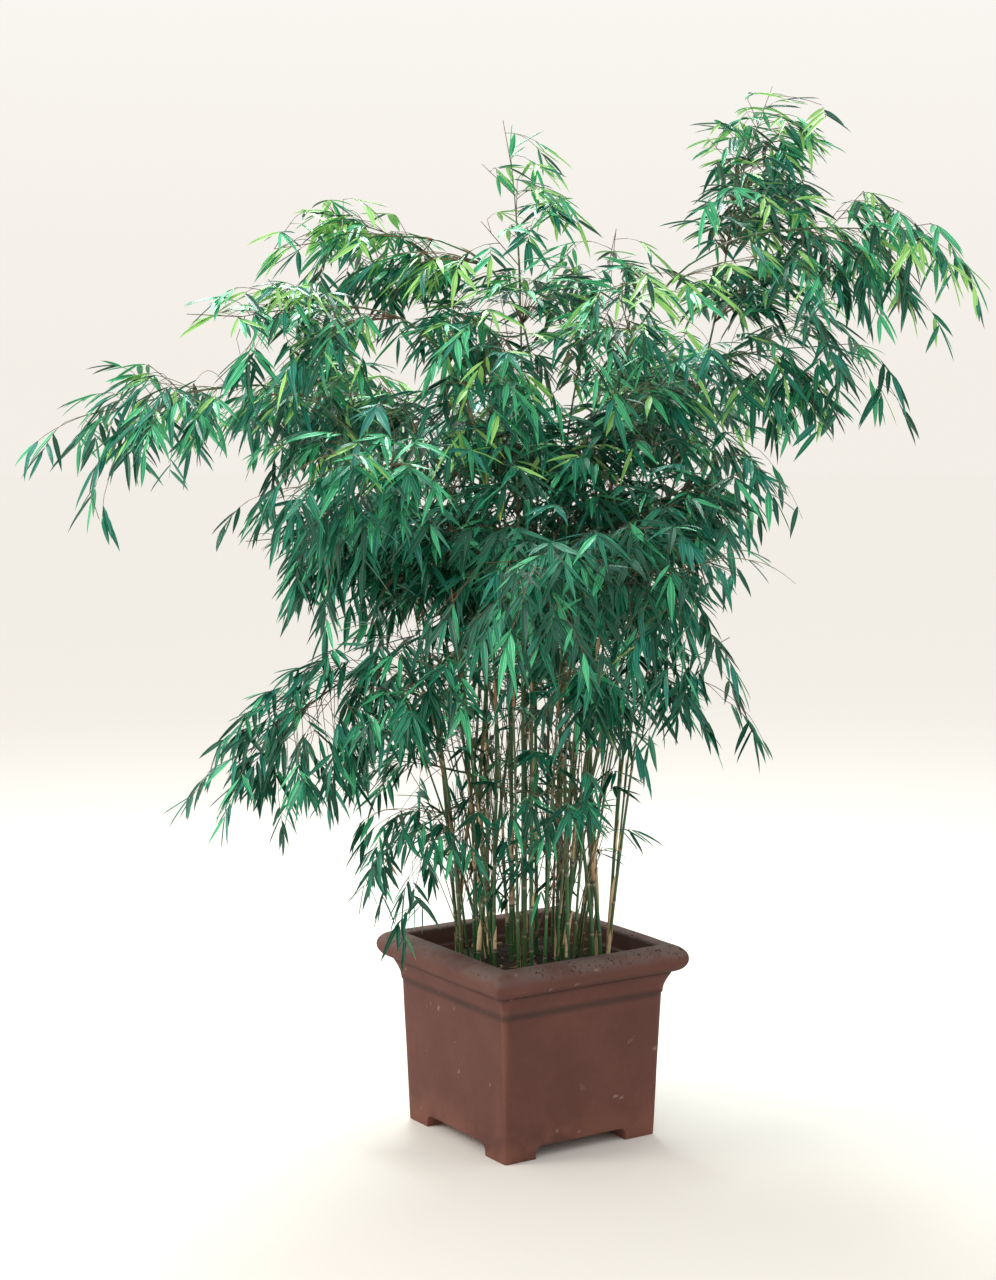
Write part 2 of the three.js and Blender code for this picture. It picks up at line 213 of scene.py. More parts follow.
# %% Build the shared groups


def start_group(name, inputs, outputs):
    """A shader node group with named inputs, each with its value, and named outputs."""
    group = bpy.data.node_groups.new(name, "ShaderNodeTree")
    for socket_name, kind, value in inputs:
        socket = group.interface.new_socket(socket_name, in_out="INPUT", socket_type=kind)
        if value is not None:
            socket.default_value = value
    for socket_name, kind in outputs:
        group.interface.new_socket(socket_name, in_out="OUTPUT", socket_type=kind)
    return group, add_node(group, "NodeGroupInput"), add_node(group, "NodeGroupOutput")


FLOAT, VECTOR = "NodeSocketFloat", "NodeSocketVector"

patches_group, given, put = start_group(
    "Patches",
    [("Vector", VECTOR, None), ("Scale", FLOAT, 8.0), ("Low", FLOAT, 0.4), ("High", FLOAT, 0.6)],
    [("Mask", FLOAT)],
)
noise = add_node(patches_group, "ShaderNodeTexNoise",
                 {"Vector": given.outputs["Vector"], "Scale": given.outputs["Scale"], "Detail": 5.0})
ramp = add_node(patches_group, "ShaderNodeMapRange",
                {"Value": noise.outputs["Fac"], "From Min": given.outputs["Low"],
                 "From Max": given.outputs["High"]}, interpolation_type="SMOOTHSTEP")
patches_group.links.new(ramp.outputs["Result"], put.inputs["Mask"])

grain_group, given, put = start_group(
    "Fine grain",
    [("Vector", VECTOR, None), ("Scale", FLOAT, 300.0), ("Pit scale", FLOAT, 90.0),
     ("Pit depth", FLOAT, 0.5)],
    [("Height", FLOAT)],
)
noise = add_node(grain_group, "ShaderNodeTexNoise",
                 {"Vector": given.outputs["Vector"], "Scale": given.outputs["Scale"], "Detail": 3.0})
cells = add_node(grain_group, "ShaderNodeTexVoronoi",
                 {"Vector": given.outputs["Vector"], "Scale": given.outputs["Pit scale"]})
pit = add_node(grain_group, "ShaderNodeMapRange",
               {"Value": cells.outputs["Distance"], "From Min": 0.05, "From Max": 0.22})
deep = add_node(grain_group, "ShaderNodeMath",
                {0: pit.outputs["Result"], 1: given.outputs["Pit depth"]}, operation="MULTIPLY")
height = add_node(grain_group, "ShaderNodeMath",
                  {0: noise.outputs["Fac"], 1: deep.outputs["Value"]}, operation="ADD")
grain_group.links.new(height.outputs["Value"], put.inputs["Height"])


def patch_mask(tree, place, scale, low, high):
    """The group Patches in a material, with its own values."""
    values = {"Vector": place, "Scale": scale, "Low": low, "High": high}
    return add_node(tree, "ShaderNodeGroup", values, node_tree=patches_group).outputs["Mask"]


def grain_height(tree, place, scale, pit_scale, pit_depth):
    """The group Fine grain in a material, with its own values."""
    values = {"Vector": place, "Scale": scale, "Pit scale": pit_scale, "Pit depth": pit_depth}
    return add_node(tree, "ShaderNodeGroup", values, node_tree=grain_group).outputs["Height"]


def maths(tree, operation, first, second=0.0, clamp=False):
    """The result of a Math node."""
    settings = {"operation": operation, "use_clamp": clamp}
    return add_node(tree, "ShaderNodeMath", {0: first, 1: second}, **settings).outputs["Value"]


def times(tree, first, second):
    return maths(tree, "MULTIPLY", first, second)


def band(tree, value, start, end):
    """0 where a value is at start or before it, 1 at end or past it, and smooth between."""
    made = add_node(tree, "ShaderNodeMapRange", {"Value": value, "From Min": start, "From Max": end},
                    interpolation_type="SMOOTHSTEP")
    return made.outputs["Result"]


def blend(tree, mask, below, above):
    """Two colours mixed by a mask."""
    inputs = {MIX_FACTOR: mask, MIX_BELOW: below, MIX_ABOVE: above}
    return add_node(tree, "ShaderNodeMix", inputs, data_type="RGBA").outputs[MIX_RESULT]


def lay_over(tree, below, mask, strength, above):
    """A colour with another laid over it where a mask is, at a part of its strength."""
    return blend(tree, times(tree, mask, strength), below, above)


def object_place(tree):
    """Object coordinates, centred on the pot's axis, and their three numbers."""
    coordinates = add_node(tree, "ShaderNodeTexCoord")
    centred = add_node(tree, "ShaderNodeMapping",
                       {"Vector": coordinates.outputs["Object"], "Location": tuple(-AXIS)})
    parts = add_node(tree, "ShaderNodeSeparateXYZ", {"Vector": centred.outputs["Vector"]})
    return centred.outputs["Vector"], parts.outputs


def bump(tree, height, strength, distance, below=None):
    """The normal of a Bump node, on top of another one's."""
    inputs = {"Height": height, "Strength": strength, "Distance": distance}
    if below is not None:
        inputs["Normal"] = below
    return add_node(tree, "ShaderNodeBump", inputs).outputs["Normal"]


def link_finish(tree, shader, colour, normal):
    """Gives a shader its colour and its normal."""
    tree.links.new(colour, shader.inputs["Base Color"])
    tree.links.new(normal, shader.inputs["Normal"])


print("groups", [g.name for g in bpy.data.node_groups])

# %% [markdown]
# ## Clay
#
# Fired clay is matt and brown-red. Years outdoors turn the top of the rim grey-brown with dark
# pits, and rub the corners and the feet to a lighter red. Under the roll and under the band the
# outer faces get painted shade, dark bands where shade falls in the creases. Each of these has a
# place on the pot, so each mask comes from the height above the ground or from the direction of
# the surface, roughened by patches.

# %% Mix the clay
CLAY_LIGHT = (0.132, 0.052, 0.041, 1.0)
CLAY_DARK = (0.098, 0.040, 0.032, 1.0)
CLAY_WORN = (0.195, 0.078, 0.052, 1.0)
CLAY_GREY = (0.145, 0.096, 0.084, 1.0)
# Dark dirt in the pits on the rim, and also painted shade in the creases under the roll and the band.
CLAY_DIRT_AND_SHADE = (0.030, 0.020, 0.016, 1.0)
CLAY_BLOOM = (0.360, 0.250, 0.215, 1.0)
BODY_TOP = 0.293
BAND_TOP = 0.335
CORNER_WEAR = (0.174, 0.188)
OUTER_FACE = (0.184, 0.187)
FEET_TOP = 0.11
RIM_FADE = 0.008
FACING_UP = (-0.25, 0.75)
PITS_BELOW = 0.12
# Where the painted shade lies, just under the roll and just under the band, and how far it reaches.
SHADE_UNDER_ROLL = (BAND_TOP + 0.003, 0.014)
SHADE_UNDER_BAND = (BODY_TOP + 0.001, 0.013)
CREASE_SHADE_CORE = 0.001
# The under-roll, under-band and crease strengths are for painted shade. The others are for the clay's
# own marks.
CLAY_STRENGTHS = {"mottle": 0.30, "corner": 0.65, "feet": 0.75, "shade_under_roll": 0.50,
                  "shade_under_band": 0.80, "crease_shade": 0.72, "bloom": 0.5}

# The patches of each effect: their scale, and the noise values between which they fade in.
CLAY_PATCHES = {
    "firing": (7.0, 0.25, 0.75),
    "mottle": (60.0, 0.30, 0.70),
    "feet": (14.0, 0.35, 0.60),
    "rim": (22.0, 0.20, 0.62),
    "specks": (170.0, 0.56, 0.66),
    "thick": (11.0, 0.42, 0.62),
    "bloom": (36.0, 0.68, 0.76),
    "broad": (18.0, 0.20, 0.80),
}
CLAY_GRAIN = (420.0, 150.0, 0.6)

# The strength and the distance of each Bump node, here and in the other finishes.
CLAY_SOFT_BUMP = (0.25, 0.004)
CLAY_BUMP = (0.35, 0.0009)


def mix_clay():
    material, tree, shader = start_material("fired_clay", Roughness=0.86, Specular_IOR_Level=0.3)
    place, (x, y, z) = object_place(tree)
    facing = add_node(tree, "ShaderNodeSeparateXYZ",
                      {"Vector": add_node(tree, "ShaderNodeNewGeometry").outputs["Normal"]})
    masks = {name: patch_mask(tree, place, *values) for name, values in CLAY_PATCHES.items()}
    colour = blend(tree, masks["firing"], CLAY_DARK, CLAY_LIGHT)
    colour = lay_over(tree, colour, masks["mottle"], CLAY_STRENGTHS["mottle"], CLAY_DARK)
    across, deep = maths(tree, "ABSOLUTE", x), maths(tree, "ABSOLUTE", y)
    corner = band(tree, maths(tree, "MINIMUM", across, deep), *CORNER_WEAR)
    edge = times(tree, corner, band(tree, z, BAND_TOP, BODY_TOP))
    colour = lay_over(tree, colour, edge, CLAY_STRENGTHS["corner"], CLAY_WORN)
    feet = times(tree, band(tree, z, FEET_TOP, 0.0), masks["feet"])
    colour = lay_over(tree, colour, feet, CLAY_STRENGTHS["feet"], CLAY_WORN)
    upward = band(tree, facing.outputs["Z"], *FACING_UP)
    rim = times(tree, band(tree, z, BAND_TOP, POT_HEIGHT - RIM_FADE), upward)
    colour = blend(tree, times(tree, rim, masks["rim"]), colour, CLAY_GREY)
    pits = times(tree, masks["specks"], masks["thick"])
    pits = maths(tree, "MULTIPLY", pits, maths(tree, "ADD", rim, PITS_BELOW), clamp=True)
    colour = blend(tree, pits, colour, CLAY_DIRT_AND_SHADE)
    # Painted shade in the creases under the roll and the band, on the outer faces only.
    shade_under_roll = times(tree, crease_shade_mask(tree, z, *SHADE_UNDER_ROLL), CLAY_STRENGTHS["shade_under_roll"])
    shade_under_band = times(tree, crease_shade_mask(tree, z, *SHADE_UNDER_BAND), CLAY_STRENGTHS["shade_under_band"])
    crease_shade = maths(tree, "ADD", shade_under_roll, shade_under_band, clamp=True)
    outside = band(tree, maths(tree, "MAXIMUM", across, deep), *OUTER_FACE)
    painted_crease_shade = times(tree, crease_shade, outside)
    colour = lay_over(tree, colour, painted_crease_shade, CLAY_STRENGTHS["crease_shade"], CLAY_DIRT_AND_SHADE)
    colour = lay_over(tree, colour, masks["bloom"], CLAY_STRENGTHS["bloom"], CLAY_BLOOM)
    soft = bump(tree, masks["broad"], *CLAY_SOFT_BUMP)
    grain = grain_height(tree, place, *CLAY_GRAIN)
    link_finish(tree, shader, colour, bump(tree, grain, *CLAY_BUMP, soft))
    return material


# A band of painted shade under a ledge of the pot.
def crease_shade_mask(tree, z, height, reach):
    """1 at a height on the pot, and 0 further from it than its reach."""
    away = maths(tree, "ABSOLUTE", maths(tree, "SUBTRACT", z, height))
    return band(tree, away, reach, CREASE_SHADE_CORE)


clay = mix_clay()
print("clay nodes", len(clay.node_tree.nodes))

# %% [markdown]
# ## The pot
#
# A square pot could be a box with a frame round it. It is one skin instead, drawn up in courses
# like a potter's square mould: a grid is extruded upwards and scaled at each course, out for the
# band and the fat roll, over the rim, and down inside. The roll's courses follow a circle. The
# upright edges are then bevelled, the arches between the feet are cut, and a little displacement
# takes the ruler-straight look away.

# %% Model the pot
FOOT_HALF = 0.180
BODY_HALF = 0.190
BODY_COURSES = 9
BAND_OUT = (0.002, 0.015)
BAND_STEP = 0.002
BAND_COURSES = 6
ROLL_RADIUS = 0.027
ROLL_OUT = 0.013
ROLL_COURSES = 12
MOUTH_HALF = 0.1815
MOUTH_EDGE = 0.006
MOUTH_COURSES = 3
MOUTH_STEP = 0.001
LEDGE_DEPTH = 0.035
LEDGE_WIDTH = 0.014
INNER_FOOT_HALF = 0.150
FLOOR_TOP = 0.055
POT_CELLS = 16
FOOT_WIDTH = 0.072
FOOT_HEIGHT = 0.025
EDGE_ROUND = 0.0065
FINE_ROUND = 0.0016
FINE_ANGLE = 42

# Corners nearer than this count as one place: when they are chosen, and when they are merged.
NEAR = 1e-4
MERGED = 1e-5


def lerp(low, high, share):
    """A value between two others, at a share of the way."""
    return low + (high - low) * share


def to_edit(piece):
    """Edit mode, with everything selected."""
    bpy.context.view_layer.objects.active = piece
    bpy.ops.object.mode_set(mode="EDIT")
    bpy.ops.mesh.select_all(action="SELECT")


def to_object():
    bpy.ops.object.mode_set(mode="OBJECT")


def raise_courses(courses, half, height):
    """Extrudes what is selected to each course in turn: its half-width and its height."""
    for next_half, next_height in courses:
        step = (0.0, 0.0, next_height - height)
        bpy.ops.mesh.extrude_region_move(TRANSFORM_OT_translate={"value": step})
        share = next_half / half
        bpy.ops.transform.resize(value=(share, share, 1.0), center_override=(0.0, 0.0, 0.0))
        half, height = next_half, next_height


def pot_courses():
    """The pot's outline from its foot up, over the rim, and down to its floor."""
    courses = []
    for k in range(1, BODY_COURSES + 1):
        share = k / BODY_COURSES
        courses.append((lerp(FOOT_HALF, BODY_HALF, share), BODY_TOP * share))
    for k in range(BAND_COURSES + 1):
        share = k / BAND_COURSES
        out = lerp(*BAND_OUT, 1.0 - math.cos(share * math.pi / 2))
        courses.append((BODY_HALF + out, lerp(BODY_TOP + BAND_STEP, BAND_TOP, share)))
    middle = POT_HEIGHT - ROLL_RADIUS
    for k in range(ROLL_COURSES + 1):
        angle = -math.pi / 2 + math.pi * k / ROLL_COURSES
        courses.append((BODY_HALF + ROLL_OUT + ROLL_RADIUS * math.cos(angle),
                        middle + ROLL_RADIUS * math.sin(angle)))
    for k in range(MOUTH_COURSES + 1):
        angle = math.pi / 2 * k / MOUTH_COURSES
        courses.append((MOUTH_HALF + MOUTH_EDGE * (1 - math.sin(angle)),
                        POT_HEIGHT - MOUTH_STEP - MOUTH_EDGE * (1 - math.cos(angle))))
    ledge = POT_HEIGHT - LEDGE_DEPTH
    inner_edge = (MOUTH_HALF - LEDGE_WIDTH, ledge - MOUTH_STEP)
    return courses + [(MOUTH_HALF, ledge), inner_edge, (INNER_FOOT_HALF, FLOOR_TOP)]


def select_edges(piece, wanted):
    """Selects the edges for which wanted(first corner, second corner) is true, in edit mode."""
    mesh = bmesh.from_edit_mesh(piece.data)
    bpy.ops.mesh.select_all(action="DESELECT")
    bpy.ops.mesh.select_mode(type="EDGE")
    for edge in mesh.edges:
        edge.select_set(wanted(*(corner.co for corner in edge.verts)))
    mesh.select_flush_mode()
    bmesh.update_edit_mesh(piece.data)


def on_corner(point):
    """Whether a corner of the mesh lies on one of the pot's upright edges."""
    return abs(abs(point.x) - abs(point.y)) < NEAR and abs(point.x) > INNER_FOOT_HALF - 0.01


def upright(a, b):
    """Whether two corners of the mesh make a stretch of an upright edge, and not a step across one."""
    same_side = a.x * b.x > 0 and a.y * b.y > 0
    return on_corner(a) and on_corner(b) and same_side and abs(a.x - b.x) < 0.05


def apply_modifiers(piece):
    bpy.context.view_layer.objects.active = piece
    for modifier in list(piece.modifiers):
        bpy.ops.object.modifier_apply(modifier=modifier.name)


def cut_arch(piece, turn):
    """Cuts the low opening between two feet right through the pot."""
    wide = 2 * (FOOT_HALF - FOOT_WIDTH)
    cutter = start_piece("cutter", bpy.ops.mesh.primitive_cube_add, size=1.0)
    cutter.scale = (wide, 1.0, 2 * FOOT_HEIGHT)
    cutter.rotation_euler = (0.0, 0.0, turn)
    bpy.ops.object.transform_apply(location=True, rotation=True, scale=True)
    rounding = cutter.modifiers.new("rounding", "BEVEL")
    rounding.width = 0.6 * FOOT_HEIGHT
    rounding.segments = 5
    apply_modifiers(cutter)
    cut = piece.modifiers.new("arch", "BOOLEAN")
    cut.operation = "DIFFERENCE"
    cut.solver = "EXACT"
    cut.object = cutter
    apply_modifiers(piece)
    bpy.data.objects.remove(cutter)


def finish_piece(piece, material, replaced=()):
    """Gives a piece its material, its body and the nodes that it stands for."""
    piece.data.materials.clear()
    piece.data.materials.append(material)
    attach(piece, "root")
    if replaced:
        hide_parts(*replaced)
    return piece


def select_alone(piece):
    bpy.ops.object.select_all(action="DESELECT")
    piece.select_set(True)
    bpy.context.view_layer.objects.active = piece


def settle(piece, smooth_angle):
    """Smooths a piece modelled round the origin and moves it, in its mesh, to the pot's axis."""
    select_alone(piece)
    bpy.ops.object.shade_smooth_by_angle(angle=math.radians(smooth_angle))
    piece.location = AXIS
    bpy.ops.object.transform_apply(location=True, rotation=True, scale=True)


pot = start_piece("clay_pot", bpy.ops.mesh.primitive_grid_add, size=2 * FOOT_HALF,
                  x_subdivisions=POT_CELLS, y_subdivisions=POT_CELLS)
to_edit(pot)
raise_courses(pot_courses(), FOOT_HALF, 0.0)
bpy.ops.mesh.select_all(action="SELECT")
bpy.ops.mesh.remove_doubles(threshold=MERGED)
bpy.ops.mesh.normals_make_consistent(inside=False)
select_edges(pot, upright)
bpy.ops.mesh.bevel(offset=EDGE_ROUND, segments=3, affect="EDGES")
to_object()
cut_arch(pot, 0.0)
cut_arch(pot, math.pi / 2)

rounding = pot.modifiers.new("rounding", "BEVEL")
rounding.limit_method = "ANGLE"
rounding.angle_limit = math.radians(FINE_ANGLE)
rounding.width = FINE_ROUND
rounding.segments = 2
apply_modifiers(pot)

# %% Take the ruler-straight look away
WAVE_SIZE = 0.16
WAVE_HEIGHT = 0.0022
FLAT_BELOW = 0.002
CLAY_SMOOTH = 38


def displace(piece, name, size, strength):
    """Moves a piece's skin in and out by soft clouds."""
    clouds = bpy.data.textures.new(name, "CLOUDS")
    clouds.noise_scale = size
    wave = piece.modifiers.new(name, "DISPLACE")
    wave.texture = clouds
    wave.texture_coords = "LOCAL"
    wave.strength = strength
    wave.mid_level = 0.5
    apply_modifiers(piece)


flat_feet = [vertex.co.z < FLAT_BELOW for vertex in pot.data.vertices]
displace(pot, "clay_wave", WAVE_SIZE, WAVE_HEIGHT)
for vertex, flat in zip(pot.data.vertices, flat_feet):
    if flat:
        vertex.co.z = max(vertex.co.z, 0.0)
settle(pot, CLAY_SMOOTH)
finish_piece(pot, clay, ["pot"])
print("pot faces", len(pot.data.polygons), "height", round(max(v.co.z for v in pot.data.vertices), 4))

# %% [markdown]
# ## The growth rule
#
# Bamboo grows by repeating itself, so the clump is a rule and not a list of points. Each cane
# has a turn, a reach, a rise and a slope at its tip. A mass of foliage carries on from a cane's
# tip or leaves its side: a stem, then twigs at the golden angle, then leaves. Each mass keeps to
# its own space, the part of the crown that lies nearer to its middle than to any other's. The
# frame's solids were grown by this rule with few large leaves. Here it runs again, with the same
# seeds, and each of those leaves then becomes a fine twig with sprays of real leaves.

# %% The clump's sizes
MM = 0.001
GAP = 0.3 * MM
SOIL_TOP = POT_HEIGHT - 46 * MM
POT_ROOM = 8 * MM
RIM_ROOM = 12 * MM
GROUND_ROOM = 20 * MM
BEST_SIDE_TURN = -33.3
GOLDEN_TURN = 137.508
CANE_STEPS = 8
CANE_FOOT_RADIUS = (5.2 * MM, 6.4 * MM)
CANE_TIP_RADIUS = 2.6 * MM
CANE_STIFF = 0.32
CANE_OUT = 0.12
FOOT_WIDER = 1.3
SEED = 4127
SEED_STEP = 97
STEM_STEPS = 2
STEM_LEAVE = (0.4, 0.3)
STEM_AIM = 0.7
STEM_DROP = 0.06
TIP_FALL = 8
SIDE_TILT = 30
SIDE_LENGTH = 0.9
MASS_MIDDLE = 0.55
TWIGS_PER_MASS = 5
TWIG_LENGTH = 130 * MM
TWIG_RADIUS = 2 * MM
FIRST_TWIG = 0.2
TWIGS_ALONG = 0.78
TWIG_OUT = 1.2
TWIG_UP = 0.15
TWIG_WANDER = 0.4
LEAVES_PER_TWIG = 4
LEAF_TRIES = 9
LEAF_AHEAD = 0.7
LEAF_ASIDE = 0.8
LEAF_FALL = (0.45, 0.6)
LEAF_INWARD = 0.2
LEAF_WANDER = 0.7
LEAF_TWIST = 0.9
FIRST_LINE = 0.98
LINE_STEP = 0.24
LINE_ROOM = 0.55
TWIG_ROOM = 0.4
BLADE_LENGTH = 195 * MM
BLADE_WIDTH = 42 * MM
BLADE_THICKNESS = 4 * MM
BLADE_BELLY = 0.36
BLADE_KEEL = 0.14
BLADE_SINK = 0.8 * MM
CELL_MARGIN = 1.5 * MM
LIMB_MARGIN = 2 * MM
GAP_SAMPLES = 7

# A cane's name, turn, reach, rise, tilt at its tip, foot, the length of its tip's mass, and the
# ring and swing of the mass on its side. Lengths are in millimetres.
LEADERS = [
    ("tall", 15, 405, 1770, 82, 62, 280, 6, 75),
    ("right_arch", 350, 440, 1790, 10, 118, 250, 6, -90),
    ("right_middle", 3, 330, 1540, 18, 132, 230, 0, 0),
    ("right_low", 331, 205, 1250, 28, 140, 210, 0, 0),
    ("right_short", 342, 190, 900, 35, 146, 150, 0, 0),
    ("spire", 112, 60, 1690, 86, 28, 260, 0, 0),
    ("left_high", 157, 225, 1790, 8, 88, 260, 6, -30),
    ("left_second", 197, 350, 1650, 4, 116, 230, 6, 95),
    ("left_far", 178, 540, 1500, 0, 142, 270, 7, -70),
    ("left_weeping", 203, 345, 960, -24, 146, 250, 6, 60),
    ("left_middle", 190, 260, 1210, 8, 148, 220, 3, -10),
    ("left_low", 222, 175, 690, -10, 142, 140, 0, 0),
    ("front_left", 236, 330, 1320, 18, 128, 250, 0, 0),
    ("front", 270, 340, 1180, 12, 134, 240, 3, 10),
    ("front_right", 302, 290, 1150, 15, 132, 230, 5, -30),
    ("back_right", 61, 380, 1520, 20, 128, 260, 5, -20),
    ("back", 96, 400, 1420, 18, 130, 260, 4, 0),
    ("back_left", 129, 400, 1460, 18, 132, 260, 5, 20),
    ("middle", 50, 150, 1530, 72, 48, 240, 0, 0),
]
FILLERS = {"count": 8, "turn": 70, "nearest": 30, "furthest": 105, "lean": 130}
FILLER_RISE = (1480, 1180)

# %% Directions, curves and the seeded series


def series(seed):
    """Numbers from 0 to 1, the same on every run."""
    state = seed
    while True:
        state = state * 16807 % 2147483647
        yield state / 2147483647


def unit(way):
    """Ways made one unit long."""
    return way / np.linalg.norm(way, axis=-1, keepdims=True)


def columns_of(rows):
    """Rows turned into one array for each of their columns."""
    return [np.array(column) for column in zip(*rows)]


def wander(draw):
    """A small step in any direction."""
    return np.array([next(draw) - 0.5, next(draw) - 0.5, next(draw) - 0.5])


def plan_direction(turn):
    """A level direction of the clump, from its turn in plan."""
    angle = math.radians(turn + BEST_SIDE_TURN)
    return np.array([math.cos(angle), math.sin(angle), 0.0])


def sloped(flat, tilt):
    """A level direction tilted up."""
    return flat * math.cos(math.radians(tilt)) + UP * math.sin(math.radians(tilt))


def bezier(*corners):
    """A curve that gives its place for a number from 0 to 1."""
    def at(t):
        points = corners
        while len(points) > 1:
            points = [a + (b - a) * t for a, b in zip(points, points[1:])]
        return points[0]
    return at


def tangent(curve, t):
    """Which way a curve goes at a number from 0 to 1."""
    return unit(curve(min(t + 1e-4, 1.0)) - curve(max(t - 1e-4, 0.0)))


# %% Canes and the stems of the masses


def cane_curve(turn, reach, rise, tilt, foot):
    """Steeply up out of the soil, then over to the tip at its own slope."""
    out = plan_direction(turn)
    tall = rise - SOIL_TOP
    start = out * foot + UP * (SOIL_TOP + GAP)
    end = out * reach + UP * rise
    low = start + UP * CANE_STIFF * tall + out * CANE_OUT * (reach - foot)
    high = end - sloped(out, tilt) * CANE_STIFF * tall
    return bezier(start, low, high, end)


def grow_canes():
    """The leading canes, and the inner ones that fill the clump at the golden angle."""
    draw = series(SEED)
    rows = list(LEADERS)
    for k in range(FILLERS["count"]):
        share = (k + 0.5) / FILLERS["count"]
        turn = GOLDEN_TURN * k + FILLERS["turn"]
        foot = lerp(FILLERS["nearest"], FILLERS["furthest"], share)
        reach = foot * 1.4 + FILLERS["lean"] * share
        rise = lerp(*FILLER_RISE, k / FILLERS["count"])
        rows.append((f"inner_{k + 1}", turn, reach, rise, 82 - 10 * share, foot, 0, 0, 0))
    grown = []
    for name, turn, reach, rise, tilt, foot, spray, ring, swing in rows:
        curve = cane_curve(turn, reach * MM, rise * MM, tilt, foot * MM)
        grown.append({"name": name, "turn": turn, "tilt": tilt, "spray": spray * MM, "ring": ring,
                      "swing": swing, "curve": curve, "thick": lerp(*CANE_FOOT_RADIUS, next(draw)),
                      "line": np.array([curve(k / CANE_STEPS) for k in range(CANE_STEPS + 1)])})
    return grown


def cane_radius(cane, t):
    return lerp(cane["thick"], CANE_TIP_RADIUS, t)


def stem_curve(root, leave, aim, length):
    """Straight out of its limb, then over towards its aim, sagging as it goes."""
    bend = root + leave * STEM_LEAVE[0] * length
    end = root + leave * STEM_LEAVE[1] * length + aim * STEM_AIM * length - UP * STEM_DROP * length
    return bezier(root, bend, end)


def plan_masses(canes):
    """A stem that carries on from a cane's tip, and one from its side, lower down."""
    plans = []
    for cane in canes:
        if not cane["spray"]:
            continue
        ahead, flat = tangent(cane["curve"], 1.0), plan_direction(cane["turn"])
        root = cane["curve"](1.0) + ahead * GAP
        aim = sloped(flat, cane["tilt"] - TIP_FALL)
        plans.append((cane["name"] + "_tip", stem_curve(root, ahead, aim, cane["spray"])))
        if cane["ring"]:
            t = cane["ring"] / CANE_STEPS
            along = tangent(cane["curve"], t)
            away = plan_direction(cane["turn"] + cane["swing"])
            leave = unit(away - along * away.dot(along))
            root = cane["curve"](t) + leave * (cane_radius(cane, t) + GAP)
            stem = stem_curve(root, leave, sloped(away, SIDE_TILT), SIDE_LENGTH * cane["spray"])
            plans.append((cane["name"] + "_side", stem))
    return [{"name": name, "stem": stem, "centre": stem(MASS_MIDDLE), "seed": SEED + SEED_STEP * number,
             "joints": np.array([stem(k / STEM_STEPS) for k in range(STEM_STEPS + 1)])}
            for number, (name, stem) in enumerate(plans, start=1)]


canes = grow_canes()
masses = plan_masses(canes)
CENTRES = np.array([mass["centre"] for mass in masses])
CANE_STARTS = np.concatenate([cane["line"][:-1] for cane in canes])
CANE_ENDS = np.concatenate([cane["line"][1:] for cane in canes])
CANE_ROOM = np.array([cane_radius(cane, k / CANE_STEPS) * (1.0 if k else FOOT_WIDER) + LIMB_MARGIN
                      for cane in canes for k in range(CANE_STEPS)])
print(len(canes), "canes and", len(masses), "masses")

# %% What a twig or a leaf may not do


def stays_home(points, mass):
    """Whether each point lies nearer to a mass's own middle than to any other's."""
    between = np.delete(CENTRES, mass, 0) - CENTRES[mass]
    limit = np.linalg.norm(between, axis=1) / 2 - CELL_MARGIN
    return ((points - CENTRES[mass]) @ unit(between).T < limit).all(axis=-1)


def clear_of_pot(points):
    """Whether each point is above the rim or outside it, and off the ground."""
    half = BODY_HALF + ROLL_OUT + ROLL_RADIUS + POT_ROOM
    height = points[..., 2]
    beside = np.abs(points[..., :2]).max(axis=-1) > half
    return (height > GROUND_ROOM) & ((height > POT_HEIGHT + RIM_ROOM) | beside)


def line_gaps(start, end, starts, ends):
    """How near one straight line comes to each of several, measured at points along it."""
    points = start + (end - start) * np.linspace(0, 1, GAP_SAMPLES + 1)[:, None]
    along = ends - starts
    share = ((points[:, None] - starts) * along).sum(-1) / (along * along).sum(-1)
    nearest = starts + along * np.clip(share, 0, 1)[..., None]
    return np.linalg.norm(points[:, None] - nearest, axis=-1).min(axis=0)


def clear_of_canes(start, end, half_width):
    """Whether a straight line of some width passes all canes by."""
    return (line_gaps(start, end, CANE_STARTS, CANE_ENDS) > CANE_ROOM + half_width).all()


# %% Twigs and leaf lines of one mass


def along_joints(joints, t):
    """A place on the straight stretches that stand for a stem."""
    k = min(int(t * STEM_STEPS), STEM_STEPS - 1)
    return lerp(joints[k], joints[k + 1], t * STEM_STEPS - k)


def twig_lines(index, draw):
    """Twigs leave the stem all round it, and the last one carries it on."""
    mass, lines = masses[index], []
    side = unit(np.cross(UP, tangent(mass["stem"], 0.5)))
    for k in range(TWIGS_PER_MASS):
        t = FIRST_TWIG + TWIGS_ALONG * k / (TWIGS_PER_MASS - 1)
        along = tangent(mass["stem"], t)
        other = unit(np.cross(side, along))
        spin = math.radians(GOLDEN_TURN * k) + next(draw)
        outward = side * math.cos(spin) + other * math.sin(spin)
        heading = along + outward * (0.0 if k == TWIGS_PER_MASS - 1 else TWIG_OUT) + UP * TWIG_UP
        heading = unit(heading + wander(draw) * TWIG_WANDER)
        start = along_joints(mass["joints"], t)
        end = start + heading * TWIG_LENGTH * (1.1 - 0.4 * t) * (0.8 + 0.4 * next(draw))
        clear = clear_of_canes(lerp(start, end, 0.3), end, TWIG_RADIUS)
        if clear and clear_of_pot(end) and stays_home(np.array([start, end]), index).all():
            lines.append((t, start, end))
    return lines


